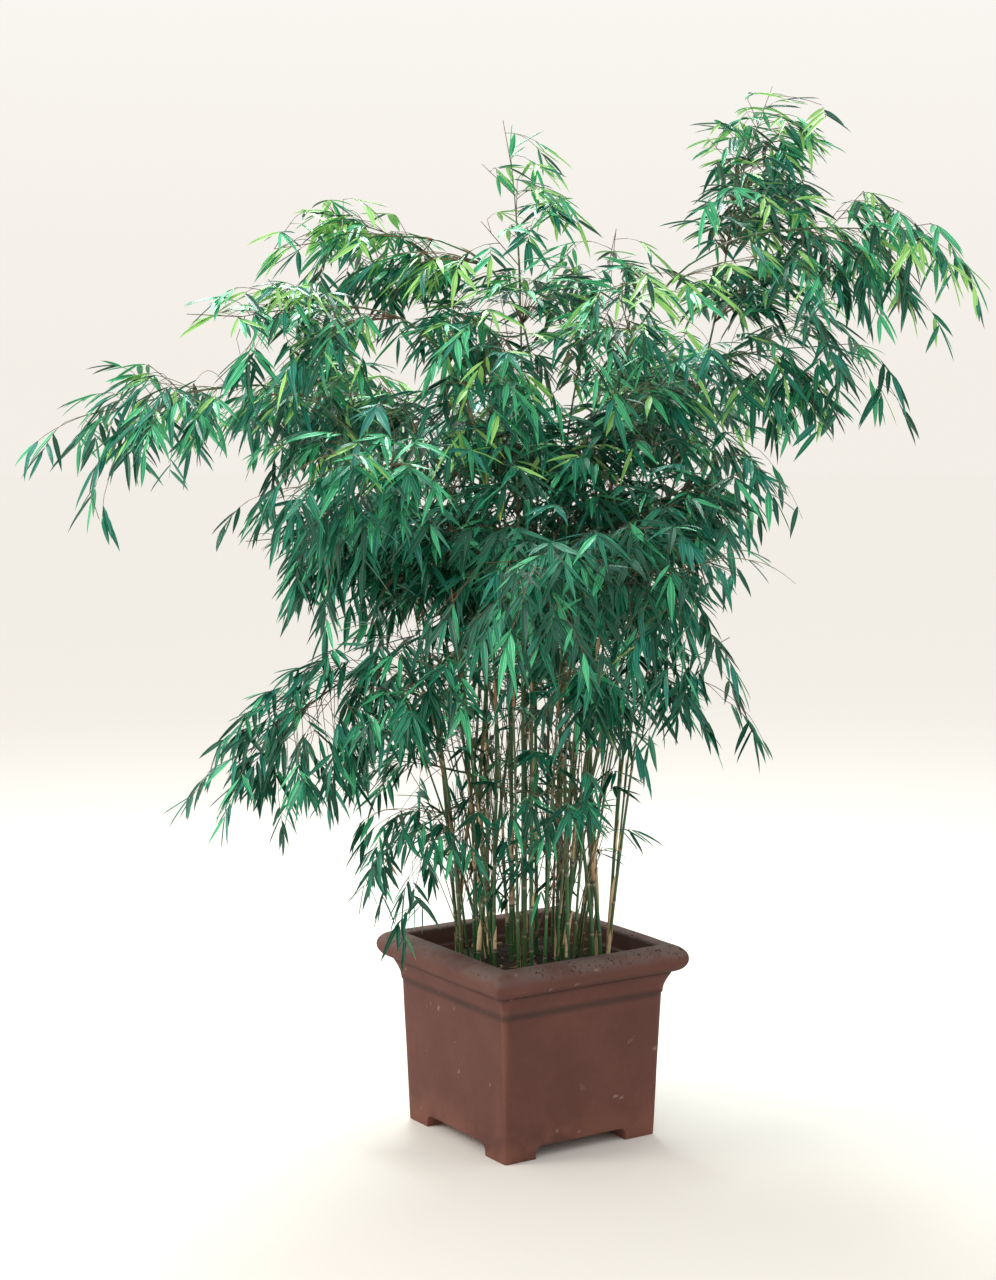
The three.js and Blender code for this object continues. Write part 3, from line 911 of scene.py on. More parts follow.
def blade_corners(root, way, flat):
    """The six corners of a leaf of the frame."""
    across = unit(np.cross(way, flat)) * BLADE_WIDTH / 2
    face = unit(np.cross(across, way)) * BLADE_THICKNESS / 2
    belly, keel = root + way * BLADE_LENGTH * BLADE_BELLY, root + way * BLADE_LENGTH * BLADE_KEEL
    return np.array([root, root + way * BLADE_LENGTH, belly + across, belly - across,
                     keel + face, keel - face])


def leaf_line(index, twig, share, fork, taken, draw):
    """One leaf of the frame on a twig, or None where there is no room for it."""
    start, end = twig
    heading = unit(end - start)
    side = unit(np.cross(heading, UP))
    node = lerp(start, end, share)
    inward = unit(masses[index]["centre"] - node)
    for attempt in range(LEAF_TRIES):
        fall = -LEAF_FALL[0] - LEAF_FALL[1] * next(draw)
        way = heading * LEAF_AHEAD + side * fork * LEAF_ASIDE + UP * fall
        way = unit(way + wander(draw) * LEAF_WANDER + inward * LEAF_INWARD * attempt)
        flat = unit(UP + wander(draw) * LEAF_TWIST)
        root = node - way * BLADE_SINK
        corners = blade_corners(root, way, flat)
        first, last = root + way * 0.2 * BLADE_LENGTH, root + way * BLADE_LENGTH
        if not (stays_home(corners, index).all() and clear_of_pot(corners).all()):
            continue
        if not clear_of_canes(first, last, BLADE_WIDTH / 2):
            continue
        starts, ends, room = columns_of(taken)
        if (line_gaps(first, last, starts, ends) < room).any():
            continue
        taken.append((first, last, LINE_ROOM * BLADE_WIDTH))
        return root, way, flat
    return None


def grow_mass(index):
    """The twigs and the leaves of one mass."""
    draw = series(masses[index]["seed"])
    twigs = twig_lines(index, draw)
    joints = masses[index]["joints"]
    room = TWIG_ROOM * BLADE_WIDTH
    taken = [(a, b, room) for a, b in zip(joints, joints[1:])]
    taken += [(start, end, room) for _, start, end in twigs]
    leaves = []
    for t, start, end in twigs:
        for j in range(LEAVES_PER_TWIG):
            fork = 0 if j == 0 else 1 if j % 2 else -1
            leaf = leaf_line(index, (start, end), FIRST_LINE - LINE_STEP * j, fork, taken, draw)
            if leaf:
                leaves.append(leaf)
    return twigs, leaves


grown = [grow_mass(index) for index in range(len(masses))]
off = 0.0
for mass, (twigs, leaves) in zip(masses, grown):
    corners = np.concatenate([blade_corners(*leaf) for leaf in leaves]) + AXIS
    low, high = (np.array(corner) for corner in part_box("leaves_" + mass["name"]))
    off = max(off, (corners.max(0) - high).max(), (low - corners.min(0)).max())
line_count = sum(len(leaves) for _, leaves in grown)
print(line_count, "leaf lines, at most", round(off * 1000, 2), "mm past the frame")

# %% [markdown]
# ## Canes
#
# A bamboo cane is a stack of internodes, with a swollen ring at each node. One internode is
# modelled here: a circle drawn up in courses, narrow in the middle, with a sharp scar where the
# old sheath sat and a rounded ring above it. An array and a curve modifier could repeat it, but
# every cane would then need a curve object of its own. So its copies are stacked and bent along
# each cane's own curve by arithmetic, and their seams are merged.

# %% Model one internode
CANE_SIDES = 10
INTERNODE_FOOT = 1.12
INTERNODE_COURSES = [(1.16, 0.014), (1.05, 0.034), (0.97, 0.075), (0.95, 0.35), (0.96, 0.88),
                     (1.02, 0.945), (1.17, 0.972), (1.00, 0.984), (INTERNODE_FOOT, 1.0)]


def take_shape(piece):
    """A modelled piece's corners and triangles as arrays. The piece itself goes."""
    mesh = bmesh.new()
    mesh.from_mesh(piece.data)
    bmesh.ops.triangulate(mesh, faces=mesh.faces[:])
    corners = np.array([corner.co for corner in mesh.verts])
    triangles = np.array([[corner.index for corner in face.verts] for face in mesh.faces])
    mesh.free()
    bpy.data.objects.remove(piece)
    return corners, triangles


internode = start_piece("internode", bpy.ops.mesh.primitive_circle_add, vertices=CANE_SIDES,
                        radius=INTERNODE_FOOT)
to_edit(internode)
raise_courses(INTERNODE_COURSES, INTERNODE_FOOT, 0.0)
to_object()
INTERNODE = take_shape(internode)
print("internode:", len(INTERNODE[0]), "corners and", len(INTERNODE[1]), "triangles")

# %% Stack copies of a shape along a curve
TABLE_STEPS = 40
SHORT_INTERNODE = 62 * MM
LONG_INTERNODE = 165 * MM
FIRST_INTERNODE = (0.35, 1.2)
LAST_INTERNODE = 0.7
INTERNODE_CHANCE = (0.88, 1.12)
FOOT_FLARE = 0.3
FLARE_HEIGHT = 0.012


def curve_table(curve):
    """Places along a curve, and how far along it each is."""
    places = np.array([curve(k / TABLE_STEPS) for k in range(TABLE_STEPS + 1)])
    steps = np.linalg.norm(np.diff(places, axis=0), axis=1)
    return places, np.concatenate([[0.0], np.cumsum(steps)])


def look_up(table, lengths, values):
    """Values given for the places of a table, read at other lengths along its curve."""
    return np.stack([np.interp(lengths, table[1], values[:, axis]) for axis in range(3)], axis=-1)


def bend_along(table, wide, lengths):
    """Puts corners round a curve: two widths each, in metres, at their lengths along it."""
    centre = look_up(table, lengths, table[0])
    along = unit(look_up(table, lengths, np.gradient(table[0], axis=0)))
    side = unit(np.cross(along, VIEW_AHEAD))
    return centre + side * wide[:, :1] + np.cross(along, side) * wide[:, 1:]


def node_places(table, draw):
    """How far up a cane its nodes are. They are close at the foot and wide apart half-way up."""
    total = table[1][-1]
    nodes = [0.0, SHORT_INTERNODE * lerp(*FIRST_INTERNODE, next(draw))]
    while nodes[-1] < total - LAST_INTERNODE * LONG_INTERNODE:
        share = nodes[-1] / total
        wide = min(1.0, 0.1 + 2.6 * share) - 0.5 * max(0.0, share - 0.5)
        length = lerp(SHORT_INTERNODE, LONG_INTERNODE, wide) * lerp(*INTERNODE_CHANCE, next(draw))
        nodes.append(nodes[-1] + length)
    return np.array(nodes + [total])


def copied(triangles, count, corners):
    """The triangles of many copies of a shape, with each copy's corners after the last one's."""
    first = np.arange(count)[:, None, None] * corners
    return (triangles + first).reshape(-1, 3)


def stack_internodes(cane):
    """A cane's corners and triangles, nothing across, and its corners' places in internodes."""
    corners, triangles = INTERNODE
    table, nodes = cane["table"], cane["nodes"]
    count = len(nodes) - 1
    starts, spans = nodes[:-1, None], np.diff(nodes)[:, None]
    lengths = (starts + spans * corners[:, 2]).ravel()
    flare = 1.0 + FOOT_FLARE * np.exp(-lengths / FLARE_HEIGHT)
    radii = lerp(cane["foot"], cane["tip"], lengths / table[1][-1]) * flare
    wide = np.tile(corners[:, :2], (count, 1)) * radii[:, None]
    counted = (np.arange(count)[:, None] + corners[:, 2]).ravel()
    bent = bend_along(table, wide, lengths)
    return bent, copied(triangles, count, len(corners)), 0 * counted, counted


def piece_from(name, made, map_name="UVMap"):
    """A smooth piece from arrays: corners, triangles, and two numbers a corner for its UV map."""
    corners, triangles, across, along = made
    mesh = bpy.data.meshes.new(name)
    mesh.from_pydata(corners.tolist(), [], triangles.tolist())
    mesh.polygons.foreach_set("use_smooth", np.ones(len(triangles), dtype=bool))
    layer = mesh.uv_layers.new(name=map_name)
    order = triangles.ravel()
    layer.data.foreach_set("uv", np.stack([across[order], along[order]], axis=-1).ravel())
    piece = bpy.data.objects.new(name, mesh)
    bpy.context.scene.collection.objects.link(piece)
    return piece


def close_piece(piece):
    """Merges the seams between stacked copies and closes the open ends."""
    mesh = bmesh.new()
    mesh.from_mesh(piece.data)
    bmesh.ops.remove_doubles(mesh, verts=mesh.verts[:], dist=MERGED)
    bmesh.ops.holes_fill(mesh, edges=mesh.edges[:])
    bmesh.ops.recalc_face_normals(mesh, faces=mesh.faces[:])
    mesh.to_mesh(piece.data)
    mesh.free()


# %% [markdown]
# A cane's finish follows the cane, so it reads a UV map in which one internode is one unit
# long: a pale waxy band under each node, a dark scar on the node and fine streaks between them.
# Young canes are green, and older ones turn olive and brown. Patches that are taller than a cane
# is wide give each cane its own shade.

# %% Mix the cane's finish
CANE_GREEN = (0.015, 0.092, 0.026, 1.0)
CANE_OLIVE = (0.040, 0.130, 0.034, 1.0)
CANE_BROWN = (0.120, 0.085, 0.040, 1.0)
CANE_WAX = (0.420, 0.420, 0.290, 1.0)
CANE_SCAR = (0.060, 0.040, 0.024, 1.0)
CANE_SHADES = (34.0, 0.38, 0.60)
CANE_AGE = (26.0, 0.50, 0.64)
CANE_STREAKS = (900.0, 0.30, 0.75)
CANE_GRAIN = (1500.0, 300.0, 0.2)
CANE_BUMP = (0.2, 0.0004)
CANE_STRENGTHS = {"age": 0.7, "streaks": 0.35, "wax": 0.6, "scar": 0.8}

# Where wax and scar lie, as shares of an internode.
WAX_BAND = (0.88, 0.96)
SCAR_BELOW = (0.962, 0.975)
SCAR_ABOVE = (0.030, 0.012)


def mapped(tree, vector, **values):
    """A pattern's place, moved or stretched."""
    inputs = {"Vector": vector}
    inputs.update({key.capitalize(): value for key, value in values.items()})
    return add_node(tree, "ShaderNodeMapping", inputs).outputs["Vector"]


def own_map(tree, name="UVMap"):
    """The two numbers of a piece's own UV map."""
    uv = add_node(tree, "ShaderNodeUVMap", uv_map=name)
    parts = add_node(tree, "ShaderNodeSeparateXYZ", {"Vector": uv.outputs["UV"]})
    return parts.outputs[0], parts.outputs[1]


def mix_cane():
    material, tree, shader = start_material("bamboo_cane", Roughness=0.40)
    place, _ = object_place(tree)
    _, counted = own_map(tree)
    share = maths(tree, "FRACT", counted)
    tall = mapped(tree, place, scale=(1.0, 1.0, 0.10))
    colour = blend(tree, patch_mask(tree, tall, *CANE_SHADES), CANE_GREEN, CANE_OLIVE)
    age = patch_mask(tree, mapped(tree, tall, location=(5.0, 2.0, 0.0)), *CANE_AGE)
    colour = lay_over(tree, colour, age, CANE_STRENGTHS["age"], CANE_BROWN)
    thin = mapped(tree, place, scale=(1.0, 1.0, 0.02))
    streaks = patch_mask(tree, thin, *CANE_STREAKS)
    colour = lay_over(tree, colour, streaks, CANE_STRENGTHS["streaks"], CANE_OLIVE)
    colour = lay_over(tree, colour, band(tree, share, *WAX_BAND), CANE_STRENGTHS["wax"], CANE_WAX)
    scar = maths(tree, "ADD", band(tree, share, *SCAR_BELOW), band(tree, share, *SCAR_ABOVE), clamp=True)
    colour = lay_over(tree, colour, scar, CANE_STRENGTHS["scar"], CANE_SCAR)
    grain = grain_height(tree, thin, *CANE_GRAIN)
    link_finish(tree, shader, colour, bump(tree, grain, *CANE_BUMP))
    return material


cane_finish = mix_cane()

# %% Stack and bend the leading and inner canes
CANE_SLIM = 0.72


def finish_at_pot(piece, material, replaced=()):
    """Moves a mesh made round the origin to the pot's axis, and finishes the piece."""
    piece.data.transform(Matrix.Translation(AXIS))
    return finish_piece(piece, material, replaced)


cane_draw = series(SEED + 7)
for cane in canes:
    cane["table"] = curve_table(cane["curve"])
    cane["nodes"] = node_places(cane["table"], cane_draw)
    cane["foot"], cane["tip"] = cane["thick"] * CANE_SLIM, CANE_TIP_RADIUS * CANE_SLIM
    culm = piece_from("culm_" + cane["name"], stack_internodes(cane))
    close_piece(culm)
    finish_at_pot(culm, cane_finish, ["cane_" + cane["name"]])
print(len(canes), "canes with", sum(len(cane["nodes"]) - 1 for cane in canes), "internodes")

# %% [markdown]
# The clump has more canes than that: thin young ones stand between the others. They lean out from
# the soil in straighter lines, each from its own turn in a gap, and are joined into one piece.

# %% Grow the young canes
YOUNG_CANES = 20
RIGHT_TURNS = (-14, -2, 9, 20)
RIGHT_LEAN = (60, 130)
RIGHT_FOOT = (152, 166)
YOUNG_LEAN = (60, 230)
YOUNG_RISE = (860, 1480)
YOUNG_FOOT = (60, 146)
YOUNG_RADIUS = (2.4 * MM, 3.6 * MM)
YOUNG_TIP = 1.3 * MM
YOUNG_TURN = 20

# Where such a cane's curve is pulled to, as shares of its rise and of its reach.
LEAN_LOW = (0.33, 0.24)
LEAN_HIGH = (0.68, 0.55)

# How far apart the feet stand, and how their turns are tried, in degrees.
FOOT_ROOM = 13 * MM
FOOT_TRIES = 60
FOOT_STEP = 3


def leaning_curve(turn, reach, rise, foot):
    """Straight out of the soil at a lean, with a slight bend to the outside at the top."""
    out = plan_direction(turn)
    start = out * foot + UP * (SOIL_TOP + GAP)
    end = out * reach + UP * rise
    low, high = (start + UP * up * (rise - SOIL_TOP) + out * along * (reach - foot)
                 for up, along in (LEAN_LOW, LEAN_HIGH))
    return bezier(start, low, high, end)


def free_foot(turn, foot, feet):
    """A turn, near the one asked for, at which a cane's foot stands clear of the others."""
    for step in range(FOOT_TRIES):
        near = turn + (step // 2 + 1) * FOOT_STEP * (1 if step % 2 else -1)
        spot = plan_direction(near) * foot
        if np.linalg.norm(np.array(feet) - spot, axis=1).min() > FOOT_ROOM:
            return near
    return turn


def join_piece(name, made, finish):
    """One joined piece from arrays, finished and in its place."""
    piece = finish_at_pot(piece_from(name, made), finish)
    print(name, len(made[1]), "triangles")
    return piece


def joined(rows):
    """Rows of arrays joined column by column."""
    return [np.concatenate(column) for column in zip(*rows)]


def join_shapes(shapes):
    """Several sets of corners, triangles and other columns as one set."""
    count, rows = 0, []
    for corners, triangles, *columns in shapes:
        rows.append((corners, triangles + count, *columns))
        count += len(corners)
    return joined(rows)


young = []
feet = [cane["curve"](0.0) * np.array([1.0, 1.0, 0.0]) for cane in canes]
asked = [(GOLDEN_TURN * k + YOUNG_TURN, YOUNG_FOOT, YOUNG_LEAN) for k in range(YOUNG_CANES)]
asked += [(turn, RIGHT_FOOT, RIGHT_LEAN) for turn in RIGHT_TURNS]
for turn, foot_range, lean in asked:
    foot = lerp(*foot_range, next(cane_draw))
    turn = free_foot(turn, foot * MM, feet)
    feet.append(plan_direction(turn) * foot * MM)
    reach = foot + lerp(*lean, next(cane_draw))
    rise = lerp(*YOUNG_RISE, next(cane_draw))
    table = curve_table(leaning_curve(turn, reach * MM, rise * MM, foot * MM))
    nodes = node_places(table, cane_draw)
    radius = lerp(*YOUNG_RADIUS, next(cane_draw))
    young.append({"turn": turn, "table": table, "nodes": nodes, "foot": radius, "tip": YOUNG_TIP})
young_culms = piece_from("young_culms", join_shapes([stack_internodes(cane) for cane in young]))
close_piece(young_culms)
finish_at_pot(young_culms, cane_finish)
print(len(young), "young canes,", len(young_culms.data.polygons), "faces")

# %% [markdown]
# ## Sheaths
#
# Every internode grows inside a papery sheath. On the lower nodes the sheaths stay on for years:
# straw-coloured, pointed, wrapped round the cane and loose at the tip. One sheath is modelled
# flat as a pointed strip. Each copy is wrapped round its own cane above a node, and its tip
# stands off a little. Old ones higher up are smaller and browner, so there are two finishes.

# %% Model one sheath
SHEATH_COLUMNS = 6
SHEATH_ROWS = 8
SHEATH_OUTLINE = [1.0, 0.99, 0.96, 0.9, 0.8, 0.66, 0.46, 0.22, 0.03]


def select_row(piece, axis, value):
    """Selects the corners whose place along an axis is a value, in edit mode."""
    mesh = bmesh.from_edit_mesh(piece.data)
    bpy.ops.mesh.select_all(action="DESELECT")
    bpy.ops.mesh.select_mode(type="VERT")
    for corner in mesh.verts:
        corner.select_set(abs(corner.co[axis] - value) < NEAR)
    mesh.select_flush_mode()
    bmesh.update_edit_mesh(piece.data)


def shape_rows(piece, outline):
    """Scales each row of a strip, from its foot to its tip, to its share of the full width."""
    for row, share in enumerate(outline):
        select_row(piece, 1, row / (len(outline) - 1) - 0.5)
        bpy.ops.transform.resize(value=(share, 1.0, 1.0), center_override=(0.0, 0.0, 0.0))


def flat_strip(name, columns, rows, outline):
    """A strip two wide and one long, cut to an outline, that starts at its foot."""
    strip = start_piece(name, bpy.ops.mesh.primitive_grid_add, size=1.0, x_subdivisions=columns,
                        y_subdivisions=rows)
    to_edit(strip)
    bpy.ops.transform.resize(value=(2.0, 1.0, 1.0))
    shape_rows(strip, outline)
    bpy.ops.mesh.select_all(action="SELECT")
    bpy.ops.transform.translate(value=(0.0, 0.5, 0.0))
    bpy.ops.mesh.remove_doubles(threshold=NEAR)
    to_object()
    return strip


SHEATH = take_shape(flat_strip("sheath", SHEATH_COLUMNS, SHEATH_ROWS, SHEATH_OUTLINE))
print("sheath:", len(SHEATH[0]), "corners and", len(SHEATH[1]), "triangles")

# %% Wrap the sheaths round the canes
SHEATH_WRAP = 1.6
SHEATH_WIDER = 1.12
SHEATH_CLEAR = 0.5 * MM
SHEATH_START = 2 * MM
SHEATH_TURNS = 6.28
SHEATH_FOOT = (0.10, 0.0)
SHEATH_STREAKS = (700.0, 0.30, 0.70)
SHEATH_SPOTS = (120.0, 0.55, 0.68)
SHEATH_GRAIN = (900.0, 200.0, 0.1)
SHEATH_BUMP = (0.4, 0.0005)
SPOTS_STRENGTH = 0.7

# Each kind of sheath: the part of a cane it sits on, on how many of the nodes there, how long it
# is, how far its tip stands off, and its light, dark and spotted colours.
SHEATHS = {
    "pale_sheath": {
        "low": 0.0, "high": 0.40, "share": 0.42, "length": (40 * MM, 120 * MM), "loose": 0.14,
        "colours": ((0.80, 0.62, 0.37, 1.0), (0.52, 0.36, 0.19, 1.0), (0.30, 0.17, 0.09, 1.0)),
    },
    "brown_sheath": {
        "low": 0.22, "high": 1.1, "share": 0.50, "length": (28 * MM, 90 * MM), "loose": 0.16,
        "colours": ((0.50, 0.32, 0.17, 1.0), (0.33, 0.18, 0.095, 1.0), (0.12, 0.06, 0.04, 1.0)),
    },
}


def wrap_sheath(cane, start, length, spin, loose):
    """A sheath round a cane from a node up. Its tip leans away from the cane."""
    flat, triangles = SHEATH
    total = cane["table"][1][-1]
    lengths = np.minimum(start + length * flat[:, 1], total)
    radii = lerp(cane["foot"], cane["tip"], lengths / total) * SHEATH_WIDER + SHEATH_CLEAR
    angle = spin + flat[:, 0] * SHEATH_WRAP
    wide = np.stack([np.cos(angle), np.sin(angle)], axis=-1) * radii[:, None]
    off = np.array([math.cos(spin), math.sin(spin)]) * (loose * length * flat[:, 1:2] ** 3)
    return bend_along(cane["table"], wide + off, lengths), triangles, flat[:, 0], flat[:, 1]


def wrap_sheaths(kind, chosen, draw):
    """Sheaths of one kind on the canes, at the nodes between two shares of the cane's length."""
    shapes = []
    for cane in chosen:
        total = cane["table"][1][-1]
        for node in cane["nodes"][:-1]:
            share = node / total
            if not kind["low"] <= share <= kind["high"] or next(draw) > kind["share"]:
                continue
            length = lerp(*kind["length"], next(draw) ** 1.5)
            loose = kind["loose"] * next(draw) ** 2
            spin = SHEATH_TURNS * next(draw)
            shapes.append(wrap_sheath(cane, node + SHEATH_START, length, spin, loose))
    return join_shapes(shapes)


def mix_sheath(name, light, dark, spots):
    """Dry papery sheath: streaks along it, a dark foot, and spots."""
    material, tree, shader = start_material(name, Roughness=0.72)
    place, _ = object_place(tree)
    _, along = own_map(tree)
    thin = mapped(tree, place, scale=(1.0, 1.0, 0.05))
    colour = blend(tree, patch_mask(tree, thin, *SHEATH_STREAKS), light, dark)
    colour = lay_over(tree, colour, patch_mask(tree, place, *SHEATH_SPOTS), SPOTS_STRENGTH, spots)
    colour = lay_over(tree, colour, band(tree, along, *SHEATH_FOOT), SPOTS_STRENGTH, spots)
    grain = grain_height(tree, thin, *SHEATH_GRAIN)
    link_finish(tree, shader, colour, bump(tree, grain, *SHEATH_BUMP))
    return material


sheath_draw = series(SEED + 11)
sheath_finishes = {name: mix_sheath(name, *kind["colours"]) for name, kind in SHEATHS.items()}
for name, kind in SHEATHS.items():
    made = wrap_sheaths(kind, canes + young, sheath_draw)
    join_piece(name + "s", made, sheath_finishes[name])
    print(len(made[0]) // len(SHEATH[0]), "sheaths")

# %% [markdown]
# ## Twigs
#
# The frame's stems, twigs and leaf lines are grown above. Here they are carried on. A stem keeps
# its curve, and each leaf line becomes a twig with a spray at its tip and one on each side. More
# sprays leave the stems, and short shoots leave the nodes of the canes, as they do on bamboo.
# Particles or instances would be lighter, but they are lost when the part is exported. So every
# limb is a row in an array, and one function makes tubes of all the rows at once.

# %% Arcs: the shape of a shoot, a twig and a fine twig
LEVEL = np.array([1.0, 1.0, 0.0])
WOBBLE = 0.12
rng = np.random.default_rng(SEED)


def arc_place(roots, ways, lengths, sags, share):
    """Places along arcs that leave their roots straight and sag more and more."""
    run = (lengths * share)[:, None]
    return roots + ways * run - UP * (sags * share)[:, None] * run


def arc_way(ways, sags, share):
    """Which way such arcs go at a share of their length."""
    return unit(ways - UP * (2 * sags * share)[:, None])


def chance_ways(count):
    """Steps in any direction."""
    return rng.normal(0.0, 1.0, (count, 3))


def sideways(ways):
    """Level directions square to some ways, and any level direction for an upright way."""
    return unit(np.cross(ways, UP) + chance_ways(len(ways)) * WOBBLE * LEVEL)


def fork(ways, signs, spread):
    """Ways turned to one side by about the spread, which is the tangent of the angle."""
    turned = ways + sideways(ways) * (signs * spread)[:, None]
    return unit(turned + chance_ways(len(ways)) * WOBBLE)


def tube_mesh(lines, radius, sides):
    """Closed tubes round many lines at once: lines, points, places. They thin out evenly."""
    ways = unit(np.gradient(lines, axis=1))
    level = unit(np.cross(lines[:, -1] - lines[:, 0], UP + 0.01 * VIEW_RIGHT))[:, None]
    side = unit(level - ways * (level * ways).sum(-1, keepdims=True))
    other = np.cross(ways, side)
    angle = np.arange(sides) * 2 * math.pi / sides
    ring = side[:, :, None] * np.cos(angle)[:, None] + other[:, :, None] * np.sin(angle)[:, None]
    count, points = lines.shape[:2]
    corners = lines[:, :, None] + ring * np.linspace(*radius, points)[:, None, None]
    return corners.reshape(-1, 3), copied(tube_faces(points, sides), count, points * sides)


def tube_faces(points, sides):
    """The triangles of one tube, with a fan that closes each end."""
    faces = []
    for ring in range(points - 1):
        for k in range(sides):
            a, b = ring * sides + k, ring * sides + (k + 1) % sides
            faces += [(a, b, b + sides), (a, b + sides, a + sides)]
    last = (points - 1) * sides
    for k in range(1, sides - 1):
        faces += [(0, k + 1, k), (last, last + k, last + k + 1)]
    return np.array(faces)


# %% Stems that carry the canes on
STEM_POINTS = 10
STEM_SIDES = 6
STEM_RADIUS = (2.6 * MM, 0.9 * MM)
STEM_INTERNODES = (0.1, 3.1)

stem_lines = np.array([[mass["stem"](k / (STEM_POINTS - 1)) for k in range(STEM_POINTS)]
                       for mass in masses])
counted = np.tile(np.repeat(np.linspace(*STEM_INTERNODES, STEM_POINTS), STEM_SIDES), len(masses))
made = (*tube_mesh(stem_lines, STEM_RADIUS, STEM_SIDES), 0 * counted, counted)
join_piece("stems", made, cane_finish)

# %% Shoots from the nodes of the canes
SHOOT_LOWEST = 0.43
SHOOT_HEIGHTS = (0.43, 0.75, 1.00, 1.30, 1.50, 1.80)
SHOOTS_PER_NODE = (0.35, 0.7, 1.7, 2.7, 4.0, 5.0)
SHOOT_LENGTH = (0.10, 0.25)
SHOOT_TURN = (-85, 85)
SHOOT_LEAVE = 0.80
SHOOT_CHANCE = (0.6, 1.3)
SHOOT_HANG = 1.1
SHOOT_SAG = 0.30
BARE_RIGHT = (0.12, 0.74)

# Where the crown is fullest: ahead, right and up from the pot's axis, how far it reaches, how full.
CROWDS = [(-0.15, 0.12, 1.25, 0.24, 1.7), (0.10, 0.48, 1.64, 0.20, 2.4), (0.05, 0.40, 1.62, 0.13, 5.0),
          (0.0, -0.27, 1.60, 0.16, 2.6), (0.0, -0.58, 1.44, 0.17, 2.4), (-0.1, -0.28, 1.06, 0.18, 4.0),
          (-0.18, -0.48, 0.94, 0.16, 3.0), (0.0, -0.06, 1.70, 0.10, 3.0)]


def fullness(place):
    """How many times as many shoots a node has here."""
    times = 1.0
    for ahead, right, up, reach, full in CROWDS:
        off = place - (ahead * VIEW_AHEAD + right * VIEW_RIGHT + up * UP)
        times = max(times, full if np.linalg.norm(off) < reach else 1.0)
    return times


def shoots_wanted(place):
    """How many shoots a node has. There are few low down, and none low down on the right."""
    height = place[2]
    if height < SHOOT_LOWEST or (height < BARE_RIGHT[1] and place @ VIEW_RIGHT > BARE_RIGHT[0]):
        return 0
    return int(np.interp(height, SHOOT_HEIGHTS, SHOOTS_PER_NODE) * fullness(place) + rng.random())


def at_nodes(cane):
    """Where the nodes of a cane are, apart from its foot and its tip, and which way it goes there."""
    places = cane["table"][0]
    lengths = cane["nodes"][1:-1]
    ways = unit(look_up(cane["table"], lengths, np.gradient(places, axis=0)))
    return zip(look_up(cane["table"], lengths, places), ways)


def node_shoots(cane):
    """The shoots of one cane: a root, a way and a length for each."""
    rows = []
    for k, (place, along) in enumerate(at_nodes(cane)):
        for _ in range(shoots_wanted(place)):
            turn = cane["turn"] + 180 * (k % 2) + rng.uniform(*SHOOT_TURN)
            hang = SHOOT_HANG * rng.random() * (1.0 - abs(along[2])) ** 2
            leave = SHOOT_LEAVE * rng.uniform(*SHOOT_CHANCE)
            way = unit(along + plan_direction(turn) * leave - UP * hang)
            rows.append((place, way, rng.uniform(*SHOOT_LENGTH)))
    return rows


rows = [row for cane in canes + young for row in node_shoots(cane)]
shoot_roots, shoot_ways, shoot_lengths = columns_of(rows)
shoot_sags = rng.uniform(*SHOOT_CHANCE, len(rows)) * SHOOT_SAG
print("shoots", len(rows))

# %% Bare twigs between the canes
BARE_HEIGHTS = (0.40, 1.05)
BARE_TWIGS = 2
BARE_LENGTH = (0.12, 0.28)
BARE_EDGE = 0.12
BARE_LEAVE = (0.08, 0.30)
BARE_SAG = (0.0, 0.12)


def bare_twigs(cane):
    """Thin upright twigs from the lower nodes of a cane. More than half of them stay bare."""
    rows = []
    for place, along in at_nodes(cane):
        if not BARE_HEIGHTS[0] < place[2] < BARE_HEIGHTS[1] or place @ VIEW_RIGHT > BARE_EDGE:
            continue
        for _ in range(rng.integers(1, BARE_TWIGS + 1)):
            way = unit(along + plan_direction(rng.uniform(0, 360)) * rng.uniform(*BARE_LEAVE))
            rows.append((place, way, rng.uniform(*BARE_LENGTH)))
    return rows


rows = [row for cane in canes + young for row in bare_twigs(cane)]
bare_roots, bare_ways, bare_lengths = columns_of(rows)
bare_sags = rng.uniform(*BARE_SAG, len(rows))
print("bare twigs", len(rows))

# %% Shoots from the stems of the masses
STEM_SHOOTS = 8
UPRIGHT_SHOOTS = 8
STEM_SHOOT_LENGTH = (0.05, 0.13)
STEM_SHOOT_CHANCE = (0.2, 0.8)
STEM_SHOOT_TURN = (-0.4, 0.4)
STEM_SHOOT_AHEAD = 0.6
STEM_SHOOT_UP = 0.25
STEM_SAG = (0.1, 0.4)
SPREADS = {"spire_tip": 0.5, "tall_tip": 1.45, "left_high_side": 0.8, "left_far_tip": 1.4,
           "left_weeping_tip": 1.4}
STEM_TIMES = {"tall_tip": 5.0, "left_weeping_tip": 5.0, "left_high_tip": 1.8, "left_second_tip": 2.4,
              "left_far_tip": 3.2, "right_arch_tip": 1.6, "spire_tip": 0.8}


